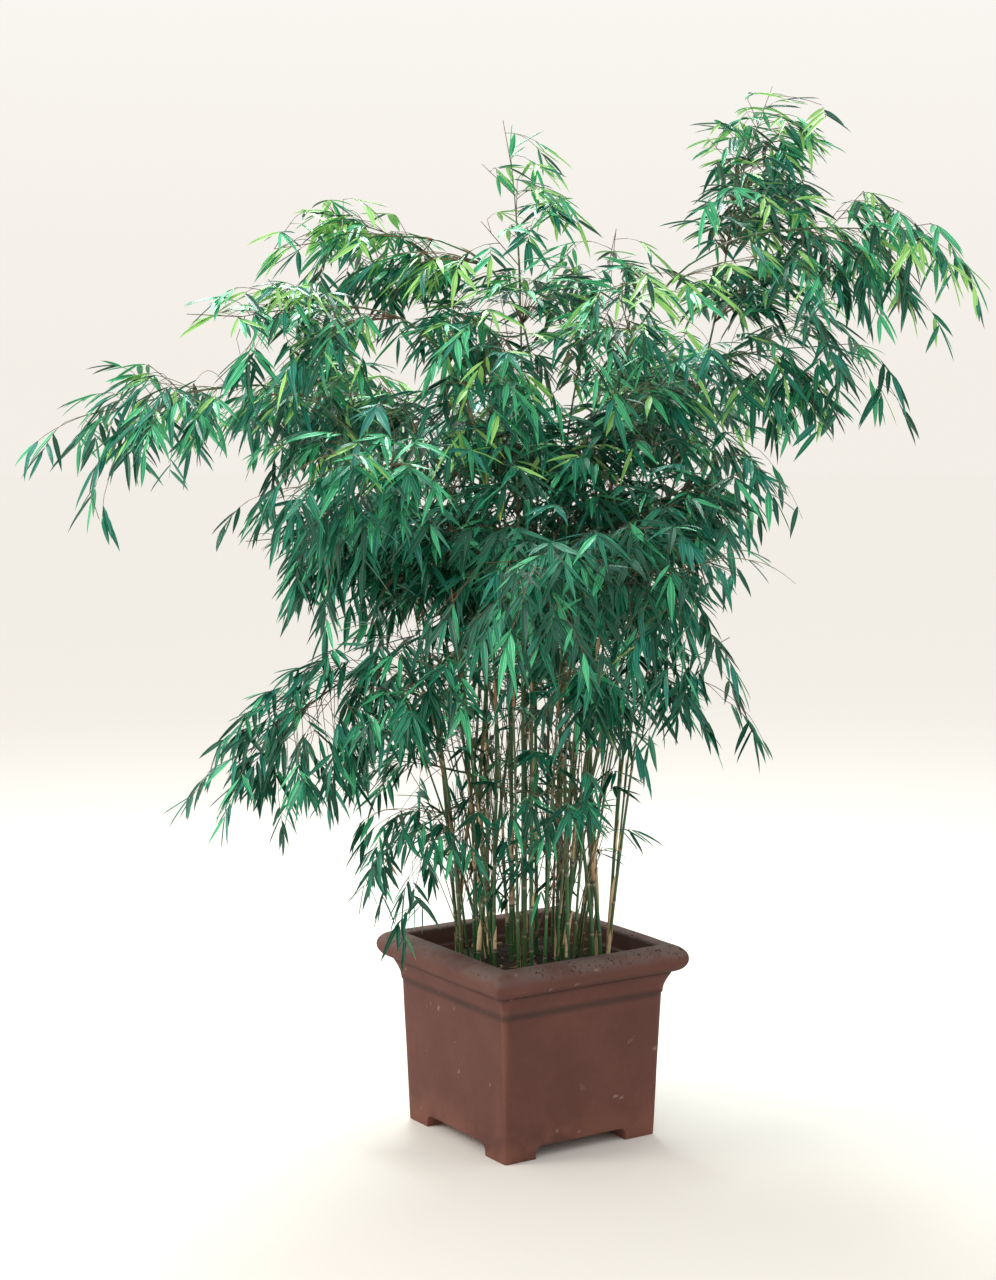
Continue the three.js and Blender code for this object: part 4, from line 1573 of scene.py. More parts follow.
def stem_shoots(mass):
    """Shoots all round a stem, at the golden angle like its twigs."""
    rows = []
    middle = tangent(mass["stem"], 0.5)
    side = unit(np.cross(UP, middle))
    count = STEM_SHOOTS + UPRIGHT_SHOOTS * abs(middle[2])
    count = int(count * STEM_TIMES.get(mass["name"], 1.0))
    spread = SPREADS.get(mass["name"], 1.0)
    for k in range(count):
        share = (k + rng.uniform(*STEM_SHOOT_CHANCE)) / count
        along = tangent(mass["stem"], share)
        spin = math.radians(GOLDEN_TURN * k) + rng.uniform(*STEM_SHOOT_TURN)
        outward = side * math.cos(spin) + unit(np.cross(side, along)) * math.sin(spin)
        way = unit(along * STEM_SHOOT_AHEAD + outward + UP * STEM_SHOOT_UP)
        length = rng.uniform(*STEM_SHOOT_LENGTH) * spread * (1.15 - 0.4 * share)
        rows.append((mass["stem"](share), way, length))
    return rows


rows = [row for mass in masses for row in stem_shoots(mass)]
stem_roots, stem_ways, stem_lengths = columns_of(rows)
stem_sags = rng.uniform(*STEM_SAG, len(rows))
print("stem shoots", len(rows))

# %% Twigs on the leaf lines
LINE_LIFT = 0.40
LIFTS = {"left_second_tip": 1.2, "left_high_tip": 0.8, "left_far_tip": 0.7, "right_arch_tip": 0.15,
         "tall_tip": 1.0, "spire_tip": 0.7, "left_weeping_tip": 0.6}
LIFT_CHANCE = (0.2, 1.8)
LINE_TWIG = (0.070, 0.105)
LINE_SAG = (0.10, 0.30)

leaf_lines = [leaf for _, leaves in grown for leaf in leaves]
line_masses = [mass["name"] for mass, (_, leaves) in zip(masses, grown) for _ in leaves]
line_lifts = np.array([LIFTS.get(name, LINE_LIFT) for name in line_masses])
line_lifts *= rng.uniform(*LIFT_CHANCE, len(leaf_lines))
line_roots, leaf_ways, _ = columns_of(leaf_lines)
line_ways = unit(leaf_ways + UP * line_lifts[:, None])
line_spreads = np.array([SPREADS.get(name, 1.0) for name in line_masses])
line_lengths = rng.uniform(*LINE_TWIG, len(leaf_lines)) * line_spreads
line_sags = rng.uniform(*LINE_SAG, len(leaf_lines))

twig_starts, twig_ends = columns_of([twig[1:] for twigs, _ in grown for twig in twigs])
twig_ways = unit(twig_ends - twig_starts)
twig_lengths = np.linalg.norm(twig_ends - twig_starts, axis=1)
print("twigs", len(twig_starts), "and lines", len(leaf_lines))

# %% [markdown]
# ## Sprays
#
# A spray is a fine twig with three to six leaves in two rows and one at its tip. Low down the
# leaves hang, so a spray looks like a half-open fan, and near the top they stand out stiffly.
# Sprays sit on the shoots, the twigs and the stems by one rule: one carries the limb on, and
# others leave it to the left and right in turn. A shoot ends where its last spray leaves it.

# %% Set sprays on every limb
SPRAY_LENGTH = (0.035, 0.070)
SPRAY_SAG = (0.15, 0.55)
SPRAY_SPREAD = 0.95
LINE_SHARES = (0.40, 0.75, 1.0)
SHOOT_SHARES = (0.42, 0.72, 1.0)
TWIG_SHARES = (0.35, 0.62, 0.85)
STEM_SHARES = (0.5, 1.0)
BARE_SHARES = (1.0,)


def sprays_on(roots, ways, lengths, sags, shares):
    """Sprays on arcs, left and right in turn: root, way, the arc's number and how far along it."""
    found = []
    for k, share in enumerate(shares):
        here = np.full(len(roots), share)
        place = arc_place(roots, ways, lengths, sags, here)
        along = arc_way(ways, sags, here)
        signs = rng.choice([-1.0, 1.0], len(roots)) if k == 0 else -signs
        spread = 0.0 if share == 1.0 else SPRAY_SPREAD
        found.append((place, fork(along, signs, spread), np.arange(len(roots)), here))
    return joined(found)


still = np.zeros(len(twig_starts))
limbs = [(line_roots, line_ways, line_lengths, line_sags, LINE_SHARES),
         (shoot_roots, shoot_ways, shoot_lengths, shoot_sags, SHOOT_SHARES),
         (stem_roots, stem_ways, stem_lengths, stem_sags, STEM_SHARES),
         (bare_roots, bare_ways, bare_lengths, bare_sags, BARE_SHARES),
         (twig_starts, twig_ways, twig_lengths, still, TWIG_SHARES)]
found = [sprays_on(*limb) for limb in limbs]
firsts = np.cumsum([0] + [len(limb[0]) for limb in limbs])
for first, columns in zip(firsts, found):
    columns[2] += first
tips = columns_of([(mass["stem"](1.0), tangent(mass["stem"], 1.0)) for mass in masses])
found.append((*tips, np.full(len(masses), firsts[-1]), np.ones(len(masses))))
spray_roots, spray_ways, spray_limbs, spray_shares = joined(found)
spray_lengths = rng.uniform(*SPRAY_LENGTH, len(spray_roots))
spray_sags = rng.uniform(*SPRAY_SAG, len(spray_roots))
print("sprays", len(spray_roots))

# %% Keep the sprays inside the frame's reach
LINE_PLACES = 8
MASS_REACH = 0.050
LIMB_REACH = 0.130
SPRAY_AHEAD = 0.045
LEAF_REACH = 0.030
THIN_HEIGHTS = (0.40, 0.80, 1.00, 1.10)
THIN_SHARES = (0.22, 0.30, 0.62, 1.0)
THIN_LEFT = (0.16, 0.30)
LEFT_SHARE = 0.85


def gap_to(places, points):
    """How far each point is from the nearest of some places."""
    tree = KDTree(len(places))
    for index, place in enumerate(places):
        tree.insert(place, index)
    tree.balance()
    return np.array([tree.find(point)[2] for point in points])


def along_lines(starts, ends):
    """Places every few centimetres along straight lines."""
    shares = np.linspace(0.0, 1.0, LINE_PLACES)[:, None, None]
    return (starts + (ends - starts) * shares).reshape(-1, 3)


leaf_ends = line_roots + leaf_ways * BLADE_LENGTH
mass_places = np.concatenate([along_lines(line_roots, leaf_ends), along_lines(twig_starts, twig_ends)])
leafy = CANE_ENDS[:, 2] > SHOOT_LOWEST
cane_places = along_lines(CANE_STARTS[leafy], CANE_ENDS[leafy])
limb_places = np.concatenate([cane_places, stem_lines.reshape(-1, 3)])


def within_reach(points, spare=0.0):
    """Whether points are near a leaf or twig of the frame, or not far from a cane or stem."""
    near_mass = gap_to(mass_places, points) < MASS_REACH + spare
    return near_mass | (gap_to(limb_places, points) < LIMB_REACH + spare)


# Where sky shows between the masses: ahead, right and up from the pot's axis, half-width, half-height.
OPENINGS = [(0.0, -0.70, 1.560, 0.10, 0.055), (0.0, -0.58, 1.590, 0.10, 0.060),
            (-0.1, -0.42, 0.820, 0.05, 0.07), (-0.1, -0.42, 0.550, 0.06, 0.10),
            (-0.1, -0.60, 1.120, 0.10, 0.07), (-0.1, -0.66, 1.060, 0.11, 0.09),
            (0.1, -0.12, 1.880, 0.06, 0.14), (0.1, 0.22, 1.930, 0.12, 0.12),
            (-0.4, 0.45, 1.080, 0.09, 0.11), (-0.1, 0.54, 1.100, 0.14, 0.16),
            (-0.1, 0.42, 1.000, 0.09, 0.16), (-0.1, 0.66, 1.320, 0.13, 0.09),
            (0.0, 0.86, 1.450, 0.10, 0.09)]
OPENING_DEPTH = 0.32

# Where light comes through between the leaves. The last number is the share of the sprays that stay.
LIGHT_PLACES = [(0.0, -0.04, 1.50, 0.26, 0.12, 0.42), (0.0, 0.20, 1.62, 0.13, 0.13, 0.45),
                (0.1, 0.42, 1.40, 0.20, 0.14, 0.75), (0.0, 0.0, 1.87, 0.13, 0.17, 0.60),
                (-0.35, 0.05, 1.16, 0.30, 0.18, 0.75)]


def inside_space(points, ahead, right, up, wide, tall):
    """Whether points are inside a rounded space that is longest away from the camera."""
    off = points - (ahead * VIEW_AHEAD + right * VIEW_RIGHT + up * UP)
    share = (off @ VIEW_AHEAD / OPENING_DEPTH, off @ VIEW_RIGHT / wide, off[:, 2] / tall)
    return sum(part ** 2 for part in share) < 1.0


def in_the_open(points):
    """Whether points are in one of the openings."""
    return np.any([inside_space(points, *space) for space in OPENINGS], axis=0)


ahead = spray_roots + spray_ways * (spray_lengths + SPRAY_AHEAD)[:, None]
kept = within_reach(ahead) & within_reach(spray_roots) & clear_of_pot(ahead) & ~in_the_open(ahead)
thin = np.interp(spray_roots[:, 2], THIN_HEIGHTS, THIN_SHARES)
thin = np.maximum(thin, np.interp(-spray_roots @ VIEW_RIGHT, THIN_LEFT, (0.0, LEFT_SHARE)))
for *space, left_over in LIGHT_PLACES:
    thin[inside_space(spray_roots, *space)] *= left_over
kept &= rng.random(len(kept)) < thin
spray_arcs = [column[kept] for column in (spray_roots, spray_ways, spray_lengths, spray_sags)]
spray_roots, spray_ways, _, spray_sags = spray_arcs
spray_limbs, spray_shares = spray_limbs[kept], spray_shares[kept]
print("sprays kept", len(spray_roots))

# %% [markdown]
# ## Leaves
#
# A bamboo leaf is a lance: narrow at the stalk, widest a third of the way up and drawn out to a
# fine tip, mostly 45 to 90 mm long and six times as long as wide. One blade is modelled flat from a grid
# of two columns, folded a little along its midrib. Every leaf is a copy of it, pointed, sagged and
# sized by arrays. Solid leaves with two skins would double the faces and show nothing more.

# %% Model one blade
LEAF_OUTLINE = [0.14, 0.86, 1.0, 0.84, 0.50, 0.0]
LEAF_FOLD = 0.30

blade = flat_strip("blade", 2, len(LEAF_OUTLINE) - 1, LEAF_OUTLINE)
to_edit(blade)
select_row(blade, 0, 0.0)
bpy.ops.transform.translate(value=(0.0, 0.0, -LEAF_FOLD))
to_object()
LEAF = take_shape(blade)
print("blade:", len(LEAF[0]), "corners and", len(LEAF[1]), "triangles")

# %% Hang the leaves on the sprays
MOST_LEAVES = 7
MOST_SPARED = 4
FIRST_LEAF = 0.28
LEAF_STRETCH = 0.66
LEAF_LENGTH = (0.056, 0.088)
FIRST_SIZE = 0.82
SIZE_STEP = 0.045
LEAF_SLIM = (5.6, 7.4)
LEAF_SPREAD = 1.0
LEAF_TILT = 0.3
LEAF_SAG = (0.02, 0.22)
SMALL_HEIGHTS = (0.60, 1.05, 1.35, 1.65)
SMALL_SIZES = (0.78, 1.0, 1.0, 0.93)

# Leaves droop by chance, less and less from one height to the next, and most in the right arch.
LEAF_DROOP = (0.0, 0.85)
DROOP_HEIGHTS = (1.15, 1.70)
DROOP_TIMES = (1.0, 0.30)
ARCH_RIGHT = 0.62
ARCH_TIMES = 1.2
BOX_SPARE = 0.020


def hang_leaves(chosen):
    """The leaves of some sprays, as columns: root, way, upward side, length, width and sag."""
    columns = []
    spare = rng.integers(0, MOST_SPARED, len(chosen))
    signs = rng.choice([-1.0, 1.0], len(chosen))
    for k in range(MOST_LEAVES):
        last = k == MOST_LEAVES - 1
        kept = np.ones(len(chosen), dtype=bool) if last else k >= spare
        rows = chosen[kept]
        along = 1.0 if last else FIRST_LEAF + LEAF_STRETCH * k / (MOST_LEAVES - 2)
        share = np.full(len(rows), along)
        place = arc_place(*(column[rows] for column in spray_arcs), share)
        spread = 0.0 if last else LEAF_SPREAD
        way = fork(arc_way(spray_ways[rows], spray_sags[rows], share), signs[kept] * (-1) ** k, spread)
        droop = np.interp(place[:, 2], DROOP_HEIGHTS, DROOP_TIMES)
        droop[place @ VIEW_RIGHT > ARCH_RIGHT] = ARCH_TIMES
        way = unit(way - UP * (droop * rng.uniform(*LEAF_DROOP, len(rows)))[:, None])
        upward = unit(UP + spray_ways[rows] * LEAF_TILT + chance_ways(len(rows)) * LEAF_TILT)
        size = 1.0 if last else FIRST_SIZE + SIZE_STEP * k
        length = rng.uniform(*LEAF_LENGTH, len(rows)) * size
        length *= np.interp(place[:, 2], SMALL_HEIGHTS, SMALL_SIZES)
        width = length / rng.uniform(*LEAF_SLIM, len(rows))
        columns.append((rows, place, way, upward, length, width, rng.uniform(*LEAF_SAG, len(rows))))
    return joined(columns)


def gap_to_canes(points):
    """How far each point is from the nearest cane's skin."""
    along = CANE_ENDS - CANE_STARTS
    nearest = np.full(len(points), 1.0)
    for start, way, room in zip(CANE_STARTS, along, CANE_ROOM):
        share = np.clip((points - start) @ way / (way @ way), 0.0, 1.0)
        gap = np.linalg.norm(points - start - share[:, None] * way, axis=1) - room
        nearest = np.minimum(nearest, gap)
    return nearest


def inside_frame(points):
    """Whether points are inside the frame's box, give or take a little."""
    low, high = np.array(cad_box) - AXIS
    return ((points > low - BOX_SPARE) & (points < high + BOX_SPARE)).all(axis=-1)


spray_of, roots, ways, upward, length, width, sag = hang_leaves(np.arange(len(spray_roots)))
tips = roots + ways * length[:, None] - UP * (sag * length)[:, None]
middles = roots + ways * 0.5 * length[:, None]
fits = inside_frame(tips) & within_reach(tips, LEAF_REACH) & clear_of_pot(tips) & clear_of_pot(middles)
fits &= (gap_to_canes(tips) > 0) & (gap_to_canes(middles) > 0) & ~in_the_open(tips)
leaf_columns = [column[fits] for column in (spray_of, roots, ways, upward, length, width, sag)]
print("leaves", fits.sum(), "of", len(fits))

# %% [markdown]
# The tints follow the light, and are painted light and shade as well as the leaves' own colours.
# Sprays deep in the crown get the dark, bluish tints as painted shade, and high ones that have
# little above them get the light and fresh yellow-green tints as painted light. Every spray counts
# the sprays above it and draws its tint from that count, its height and chance, and then some
# single leaves change theirs. Plain base colours are dealt out this way, one piece for each tint.
# What a single leaf shows is in its own UV map: a pale midrib, veins that run along it and a thin
# light edge. The underside is paler.

# %% Mix the leaves' finishes
# Each tint and its share of the sprays. The darker tints go to crowded sprays as painted shade, and the
# light and fresh tints go to open, high ones as painted light.
LEAF_TINTS = {
    "deep": ((0.005, 0.067, 0.039), 0.26),
    "mid": ((0.012, 0.158, 0.089), 0.33),
    "teal": ((0.014, 0.168, 0.118), 0.19),
    "light": ((0.055, 0.380, 0.170), 0.16),
    "fresh": ((0.260, 0.580, 0.140), 0.05),
    "yellow": ((0.300, 0.370, 0.100), 0.002),
    "dry": ((0.280, 0.200, 0.100), 0.002),
}
LEAF_MAP = "OFBake"
LEAF_TIP = (0.30, 0.24, 0.10, 1.0)
TIP_BAND = (0.9, 1.0)
RIM_TIMES = 2.7
RIM_MORE = (0.015, 0.080, 0.035)
UNDER_TIMES = 1.5
UNDER_MORE = 0.03
MIDRIB = (0.035, 0.015)
LEAF_EDGE = (0.41, 0.43)
TIP_STRENGTH = 0.5
UNDER_STRENGTH = 0.35
VEIN_TURNS = 110.0
VEIN_BUMP = (0.25, 0.0002)


def mix_leaf(name, tint):
    material, tree, shader = start_material("leaf_" + name, Roughness=0.34, Specular_IOR_Level=0.32)
    across, along = own_map(tree, LEAF_MAP)
    from_rib = maths(tree, "ABSOLUTE", maths(tree, "SUBTRACT", across, 0.5))
    pale = (*(min(1.0, UNDER_TIMES * value + UNDER_MORE) for value in tint), 1.0)
    rim = (*(min(1.0, RIM_TIMES * value + more) for value, more in zip(tint, RIM_MORE)), 1.0)
    colour = blend(tree, band(tree, from_rib, *MIDRIB), (*tint, 1.0), rim)
    colour = blend(tree, band(tree, from_rib, *LEAF_EDGE), colour, rim)
    colour = lay_over(tree, colour, band(tree, along, *TIP_BAND), TIP_STRENGTH, LEAF_TIP)
    under = add_node(tree, "ShaderNodeNewGeometry").outputs["Backfacing"]
    colour = lay_over(tree, colour, under, UNDER_STRENGTH, pale)
    veins = maths(tree, "SINE", times(tree, from_rib, VEIN_TURNS))
    link_finish(tree, shader, colour, bump(tree, veins, *VEIN_BUMP))
    return material


leaf_finishes = {name: mix_leaf(name, tint) for name, (tint, _) in LEAF_TINTS.items()}

# %% Deal the tints out by spray
DEALT_TINTS = list(LEAF_TINTS)[:5]
COLUMN_WIDE = 0.10
ABOVE = 0.02
CROWDED = 26
# Painted light: between these heights, sprays rank brighter the higher they are.
PAINTED_LIGHT_HEIGHTS = (1.2, 1.75)
LIGHT_BY_HEIGHT = (0.05, 0.8)
LIGHT_BY_CHANCE = 0.7


def sprays_above():
    """For each spray, how many others are above it in its own column."""
    counts = np.zeros(len(spray_roots))
    for k, root in enumerate(spray_roots):
        off = spray_roots - root
        counts[k] = ((off[:, 2] > ABOVE) & (np.abs(off[:, :2]) < COLUMN_WIDE).all(axis=1)).sum()
    return counts


def deal_tints():
    """A tint for each spray: the more light it gets, the nearer to the fresh end of the list."""
    light = 1.0 - np.clip(sprays_above() / CROWDED, 0.0, 1.0)
    high = np.interp(spray_roots[:, 2], PAINTED_LIGHT_HEIGHTS, (0.0, 1.0))
    least, more = LIGHT_BY_HEIGHT
    # Painted light and shade, with chance: open, high sprays rank bright and crowded, low ones rank
    # dark.
    painted_light_score = light * (least + more * high) + rng.random(len(light)) * LIGHT_BY_CHANCE
    order = np.argsort(painted_light_score)
    shares = np.array([LEAF_TINTS[name][1] for name in DEALT_TINTS])
    limits = (np.cumsum(shares) / shares.sum() * len(order)).astype(int)
    tints = np.empty(len(order), dtype=object)
    for name, low, high in zip(DEALT_TINTS, [0, *limits], limits):
        tints[order[low:high]] = name
    return tints


spray_tints = deal_tints()

# %% Join the leaves, each tint apart
# Single leaves that take a tint by chance. Above STRAY_HIGH the fresh tint, which is painted light, is
# among them.
STRAY_SHARE = 0.45
STRAY_HIGH = 1.35
STRAY_TINTS = ["deep", "deep", "deep", "mid", "light"]
HIGH_TINTS = ["deep", "deep", "teal", "mid", "light", "fresh"]


def leaf_mesh(roots, ways, upward, length, width, sag):
    """Copies of the blade for many leaves at once."""
    flat, triangles = LEAF
    across = unit(np.cross(ways, upward))
    face = np.cross(across, ways)
    x, y, z = (flat[:, axis][None, :, None] for axis in range(3))
    long, half, drop = (value[:, None, None] for value in (length, width / 2, length * sag))
    corners = (roots[:, None] + ways[:, None] * long * y + across[:, None] * half * x
               + face[:, None] * half * z - UP * drop * y ** 2)
    u, v = np.tile(flat[:, 0] / 2 + 0.5, len(roots)), np.tile(flat[:, 1], len(roots))
    return corners.reshape(-1, 3), copied(triangles, len(roots), len(flat)), u, v


def crease_midribs(piece, across):
    """Marks the edges along the midribs sharp, so that the two halves of a leaf differ in light."""
    edges = np.empty(2 * len(piece.data.edges), dtype=np.int32)
    piece.data.edges.foreach_get("vertices", edges)
    on_rib = np.abs(across[edges.reshape(-1, 2)] - 0.5).max(axis=1) < NEAR
    piece.data.edges.foreach_set("use_edge_sharp", on_rib)


leaf_tints = spray_tints[leaf_columns[0]]
stray = rng.random(len(leaf_tints)) < STRAY_SHARE
leaf_tints[stray] = rng.choice(STRAY_TINTS, stray.sum())
stray &= leaf_columns[1][:, 2] > STRAY_HIGH
leaf_tints[stray] = rng.choice(HIGH_TINTS, stray.sum())
for name in ("yellow", "dry"):
    leaf_tints[rng.random(len(leaf_tints)) < LEAF_TINTS[name][1]] = name
for name, finish in leaf_finishes.items():
    chosen = leaf_tints == name
    made = leaf_mesh(*(column[chosen] for column in leaf_columns[1:]))
    leaves = piece_from("leaves_" + name, made, LEAF_MAP)
    crease_midribs(leaves, made[2])
    finish_at_pot(leaves, finish)
    print(leaves.name, chosen.sum(), "leaves,", len(made[1]), "triangles")

# %% [markdown]
# Twigs are thin tubes with three sides, tan and red-brown with patches of young green. The masses of
# the frame are now all hidden, and the leaves and twigs above take their place.

# %% Join the twigs
TWIG_POINTS = 5
FINE_POINTS = 4

# How thick each kind of limb is at its root and its tip, in millimetres: those on the leaf lines,
# the shoots of the canes and of the stems, the bare twigs, and the twigs of the masses.
TWIG_RADII = ((0.9, 0.6), (1.1, 0.6), (1.0, 0.6), (1.3, 0.8), (1.2, 0.8))
FINE_RADIUS = (0.7, 0.4)
TWIG_TAN = (0.200, 0.120, 0.060, 1.0)
TWIG_RED = (0.110, 0.050, 0.032, 1.0)
TWIG_GREEN = (0.060, 0.120, 0.035, 1.0)
TWIG_SHADES = (40.0, 0.40, 0.60)
TWIG_FRESH = (18.0, 0.48, 0.60)
TWIG_GRAIN = (900.0, 400.0, 0.2)
TWIG_BUMP = (0.2, 0.0002)
FRESH_STRENGTH = 0.8


def arc_tubes(arcs, thick, thin, points):
    """Tubes with three sides along arcs."""
    shares = [np.full(len(arcs[0]), k / (points - 1)) for k in range(points)]
    lines = np.stack([arc_place(*arcs, share) for share in shares], axis=1)
    corners, triangles = tube_mesh(lines, (thick * MM, thin * MM), 3)
    none = np.zeros(len(corners))
    return corners, triangles, none, none


def mix_twig():
    material, tree, shader = start_material("twig", Roughness=0.55)
    place, _ = object_place(tree)
    colour = blend(tree, patch_mask(tree, place, *TWIG_SHADES), TWIG_TAN, TWIG_RED)
    fresh = patch_mask(tree, mapped(tree, place, location=(3.0, 0.0, 0.0)), *TWIG_FRESH)
    colour = lay_over(tree, colour, fresh, FRESH_STRENGTH, TWIG_GREEN)
    grain = grain_height(tree, place, *TWIG_GRAIN)
    link_finish(tree, shader, colour, bump(tree, grain, *TWIG_BUMP))
    return material


def cut_back(k):
    """The arcs of one kind of limb, cut off at their last sprays. Those without any are left out."""
    furthest = np.zeros(firsts[-1] + 1)
    np.maximum.at(furthest, spray_limbs, spray_shares)
    share = furthest[firsts[k]:firsts[k + 1]]
    leafy = share > 0
    roots, ways, lengths, sags = (column[leafy] for column in limbs[k][:4])
    return roots, ways, lengths * share[leafy], sags * share[leafy]


twig_finish = mix_twig()
fine = arc_tubes(spray_arcs, *FINE_RADIUS, FINE_POINTS)
arcs = [cut_back(0), cut_back(1), cut_back(2), limbs[3][:4], limbs[4][:4]]
thick = join_shapes([arc_tubes(arc, *radius, TWIG_POINTS) for arc, radius in zip(arcs, TWIG_RADII)])
join_piece("fine_twigs", fine, twig_finish)
join_piece("twigs", thick, twig_finish)
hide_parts(*("leaves_" + mass["name"] for mass in masses))

# %% [markdown]
# ## Soil
#
# Potting soil is dark, crumbly and never flat: it is heaped round the canes and sunk near the
# walls. A fine grid is displaced by clouds of two sizes, and a skirt is drawn down from its edge
# into the pot, so it stands for the whole filling. Crumbs, grit and scraps of fallen sheath lie on
# it. Each kind is modelled once, from an icosphere or from the sheath, and its copies are scattered.

# %% Model the soil
SOIL_HALF = 0.1660
SOIL_FOOT_HALF = 0.1497
SOIL_FOOT = 0.058
SOIL_CELLS = 70
SOIL_HEAP = 0.007
SOIL_EDGE = 0.99
SOIL_SMOOTH = 50
SOIL_CLOUDS = (("soil_heaps", 0.050, 0.010), ("soil_crumbs", 0.008, 0.005))
SOIL_DARK = (0.016, 0.011, 0.008, 1.0)
SOIL_BROWN = (0.060, 0.040, 0.026, 1.0)
SOIL_PALE = (0.200, 0.160, 0.120, 1.0)
SOIL_DAMP = (22.0, 0.35, 0.65)
SOIL_CRUMBS = (240.0, 0.45, 0.62)
SOIL_FIBRES = (330.0, 0.66, 0.72)
SOIL_GRAIN = (500.0, 160.0, 0.8)
SOIL_BUMP = (0.9, 0.002)
CRUMBS_STRENGTH = 0.6
FIBRES_STRENGTH = 0.7


def mix_soil():
    material, tree, shader = start_material("potting_soil", Roughness=0.93, Specular_IOR_Level=0.2)
    place, _ = object_place(tree)
    colour = blend(tree, patch_mask(tree, place, *SOIL_DAMP), SOIL_DARK, SOIL_BROWN)
    colour = lay_over(tree, colour, patch_mask(tree, place, *SOIL_CRUMBS), CRUMBS_STRENGTH, SOIL_BROWN)
    fibres = patch_mask(tree, mapped(tree, place, scale=(1.0, 0.15, 1.0)), *SOIL_FIBRES)
    colour = lay_over(tree, colour, fibres, FIBRES_STRENGTH, SOIL_PALE)
    grain = grain_height(tree, place, *SOIL_GRAIN)
    link_finish(tree, shader, colour, bump(tree, grain, *SOIL_BUMP))
    return material


soil_finish = mix_soil()
soil = start_piece("soil_filling", bpy.ops.mesh.primitive_grid_add, size=2 * SOIL_HALF,
                   x_subdivisions=SOIL_CELLS, y_subdivisions=SOIL_CELLS)
for name, size, strength in SOIL_CLOUDS:
    displace(soil, name, size, strength)
for vertex in soil.data.vertices:
    edge = max(abs(vertex.co.x), abs(vertex.co.y)) / SOIL_HALF
    vertex.co.z += SOIL_TOP - SOIL_HEAP * 0.5 + SOIL_HEAP * (1.0 - edge ** 4)
    if edge > SOIL_EDGE:
        vertex.co.z = SOIL_TOP - SOIL_HEAP
to_edit(soil)
bpy.ops.mesh.extrude_region_move(TRANSFORM_OT_translate={"value": (0.0, 0.0, SOIL_FOOT - SOIL_TOP)})
share = SOIL_FOOT_HALF / SOIL_HALF
bpy.ops.transform.resize(value=(share, share, 0.0), center_override=(0.0, 0.0, SOIL_FOOT))
bpy.ops.mesh.select_all(action="SELECT")
bpy.ops.mesh.normals_make_consistent(inside=False)
to_object()
settle(soil, SOIL_SMOOTH)
finish_piece(soil, soil_finish, ["soil"])
heights = [v.co.z for v in soil.data.vertices]
print("soil from", round(min(heights), 3), "to", round(max(heights), 3))

# %% Scatter crumbs, grit and scraps of sheath
CRUMBS = 520
GRIT = 90
SCRAPS = 46
CRUMB_SIZE = (1.5 * MM, 5.0 * MM)
GRIT_SIZE = (1.5 * MM, 4.5 * MM)
SCRAP_SIZE = (14 * MM, 42 * MM)
LUMP_SINK = 0.1
SCRAP_SINK = -0.02
EDGE_ROOM = 6 * MM
LYING_LEAN = 0.35
LUMP_ROUGH = 0.28
LUMP_SIZE = (1.0, 0.8, 0.65)
SCRAP_CURL = 1.6
SCRAP_WIDE = 0.13
SCRAP_HIGH = 0.11
SCRAP_LIFT = 0.08
STRETCH = (0.7, 1.3)
GRIT_DARK = (0.24, 0.20, 0.16, 1.0)
GRIT_PALE = (0.46, 0.42, 0.36, 1.0)
GRIT_PATCHES = (160.0, 0.40, 0.60)


def soil_height(x, y):
    """How high the soil is at a place given from the pot's axis."""
    start = (AXIS[0] + x, AXIS[1] + y, POT_HEIGHT)
    hit, place, _, _ = soil.ray_cast(start, (0.0, 0.0, -1.0))
    return place.z if hit else SOIL_TOP


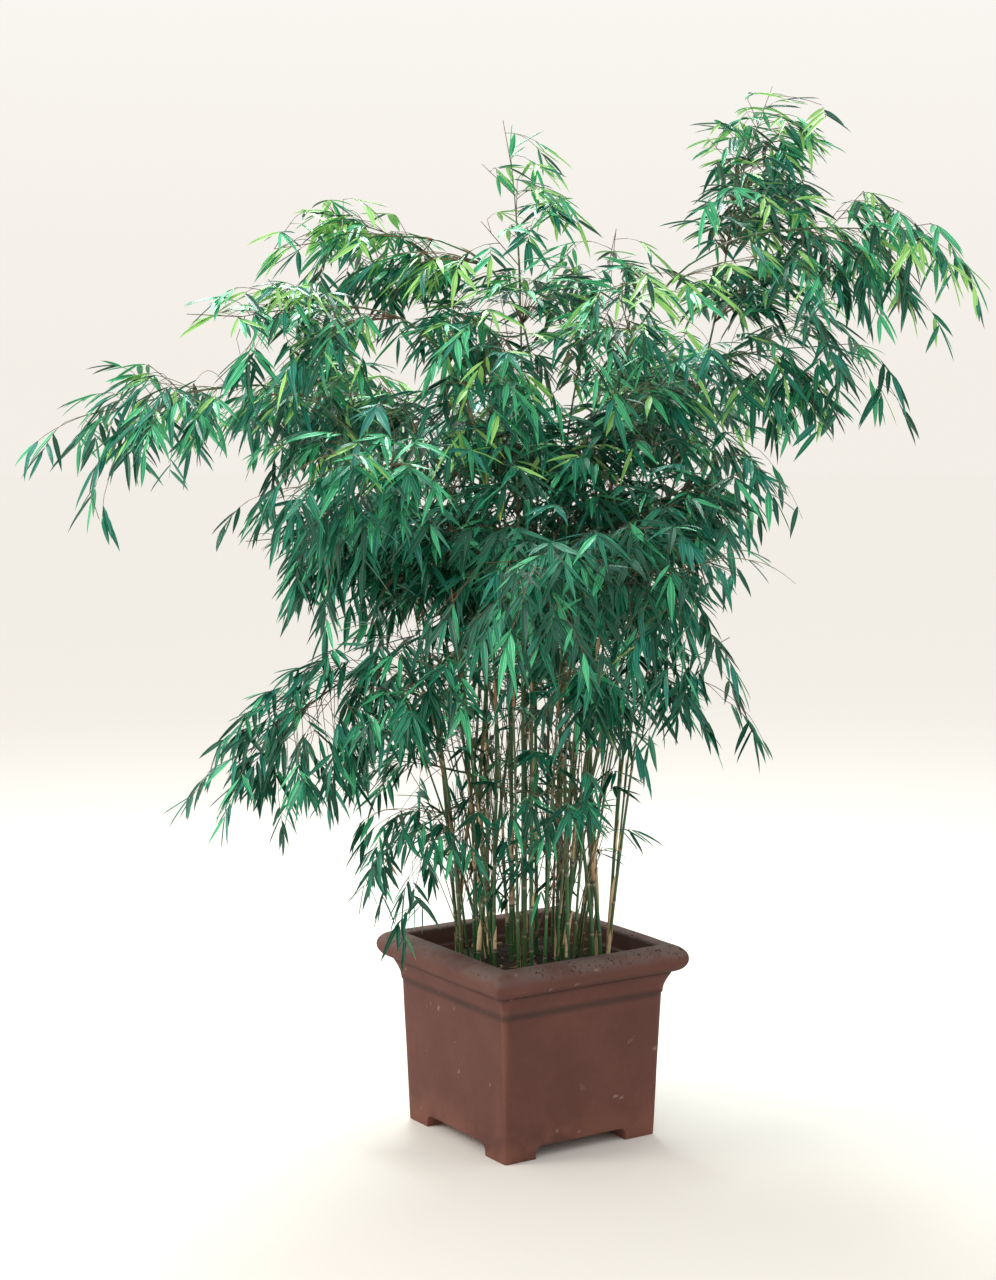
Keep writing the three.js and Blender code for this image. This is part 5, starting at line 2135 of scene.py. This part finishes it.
def turns(count):
    """Turning matrices: any way round, and up to a small lean."""
    spin, lean = rng.uniform(0, 2 * math.pi, count), rng.normal(0.0, LYING_LEAN, (count, 2))
    ahead = unit(np.stack([np.cos(spin), np.sin(spin), lean[:, 0]], axis=-1))
    above = unit(np.stack([lean[:, 1], -lean[:, 0], np.ones(count)], axis=-1))
    side = unit(np.cross(above, ahead))
    return np.stack([ahead, side, np.cross(ahead, side)], axis=-1)


def scatter(shape, count, sizes, sink):
    """Copies of a shape lying on the soil, each with its own size and turn."""
    corners, triangles = shape
    half = SOIL_HALF - EDGE_ROOM
    spots = rng.uniform(-half, half, (count, 2))
    size = lerp(*sizes, rng.random(count) ** 2)
    heights = np.array([soil_height(x, y) for x, y in spots]) - sink * size
    places = np.column_stack([spots, heights])
    stretch = rng.uniform(*STRETCH, (count, 1, 3))
    turned = np.einsum("nij,nkj->nki", turns(count), corners[None] * stretch)
    moved = places[:, None] + turned * size[:, None, None]
    none = np.zeros(count * len(corners))
    return moved.reshape(-1, 3), copied(triangles, count, len(corners)), none, none


def lump_shape():
    """A rough lump two units across."""
    lump = start_piece("lump", bpy.ops.mesh.primitive_ico_sphere_add, subdivisions=1, radius=1.0)
    to_edit(lump)
    bpy.ops.transform.vertex_random(offset=LUMP_ROUGH, seed=3)
    bpy.ops.transform.resize(value=LUMP_SIZE)
    to_object()
    return take_shape(lump)


def scrap_shape():
    """A curled scrap of sheath, one unit long."""
    corners, triangles = SHEATH
    across, along = corners[:, 0], corners[:, 1]
    height = SCRAP_HIGH * np.cos(SCRAP_CURL * across) + SCRAP_LIFT * along ** 2
    return np.column_stack([along - 0.5, SCRAP_WIDE * np.sin(SCRAP_CURL * across), height]), triangles


lump = lump_shape()
grit_finish, grit_tree, grit_shader = start_material("grit", Roughness=0.7)
place, _ = object_place(grit_tree)
stone = blend(grit_tree, patch_mask(grit_tree, place, *GRIT_PATCHES), GRIT_DARK, GRIT_PALE)
grit_tree.links.new(stone, grit_shader.inputs["Base Color"])
join_piece("crumbs", scatter(lump, CRUMBS, CRUMB_SIZE, LUMP_SINK), soil_finish)
join_piece("grit", scatter(lump, GRIT, GRIT_SIZE, LUMP_SINK), grit_finish)
join_piece("sheath_scraps", scatter(scrap_shape(), SCRAPS, SCRAP_SIZE, SCRAP_SINK),
           sheath_finishes["brown_sheath"])
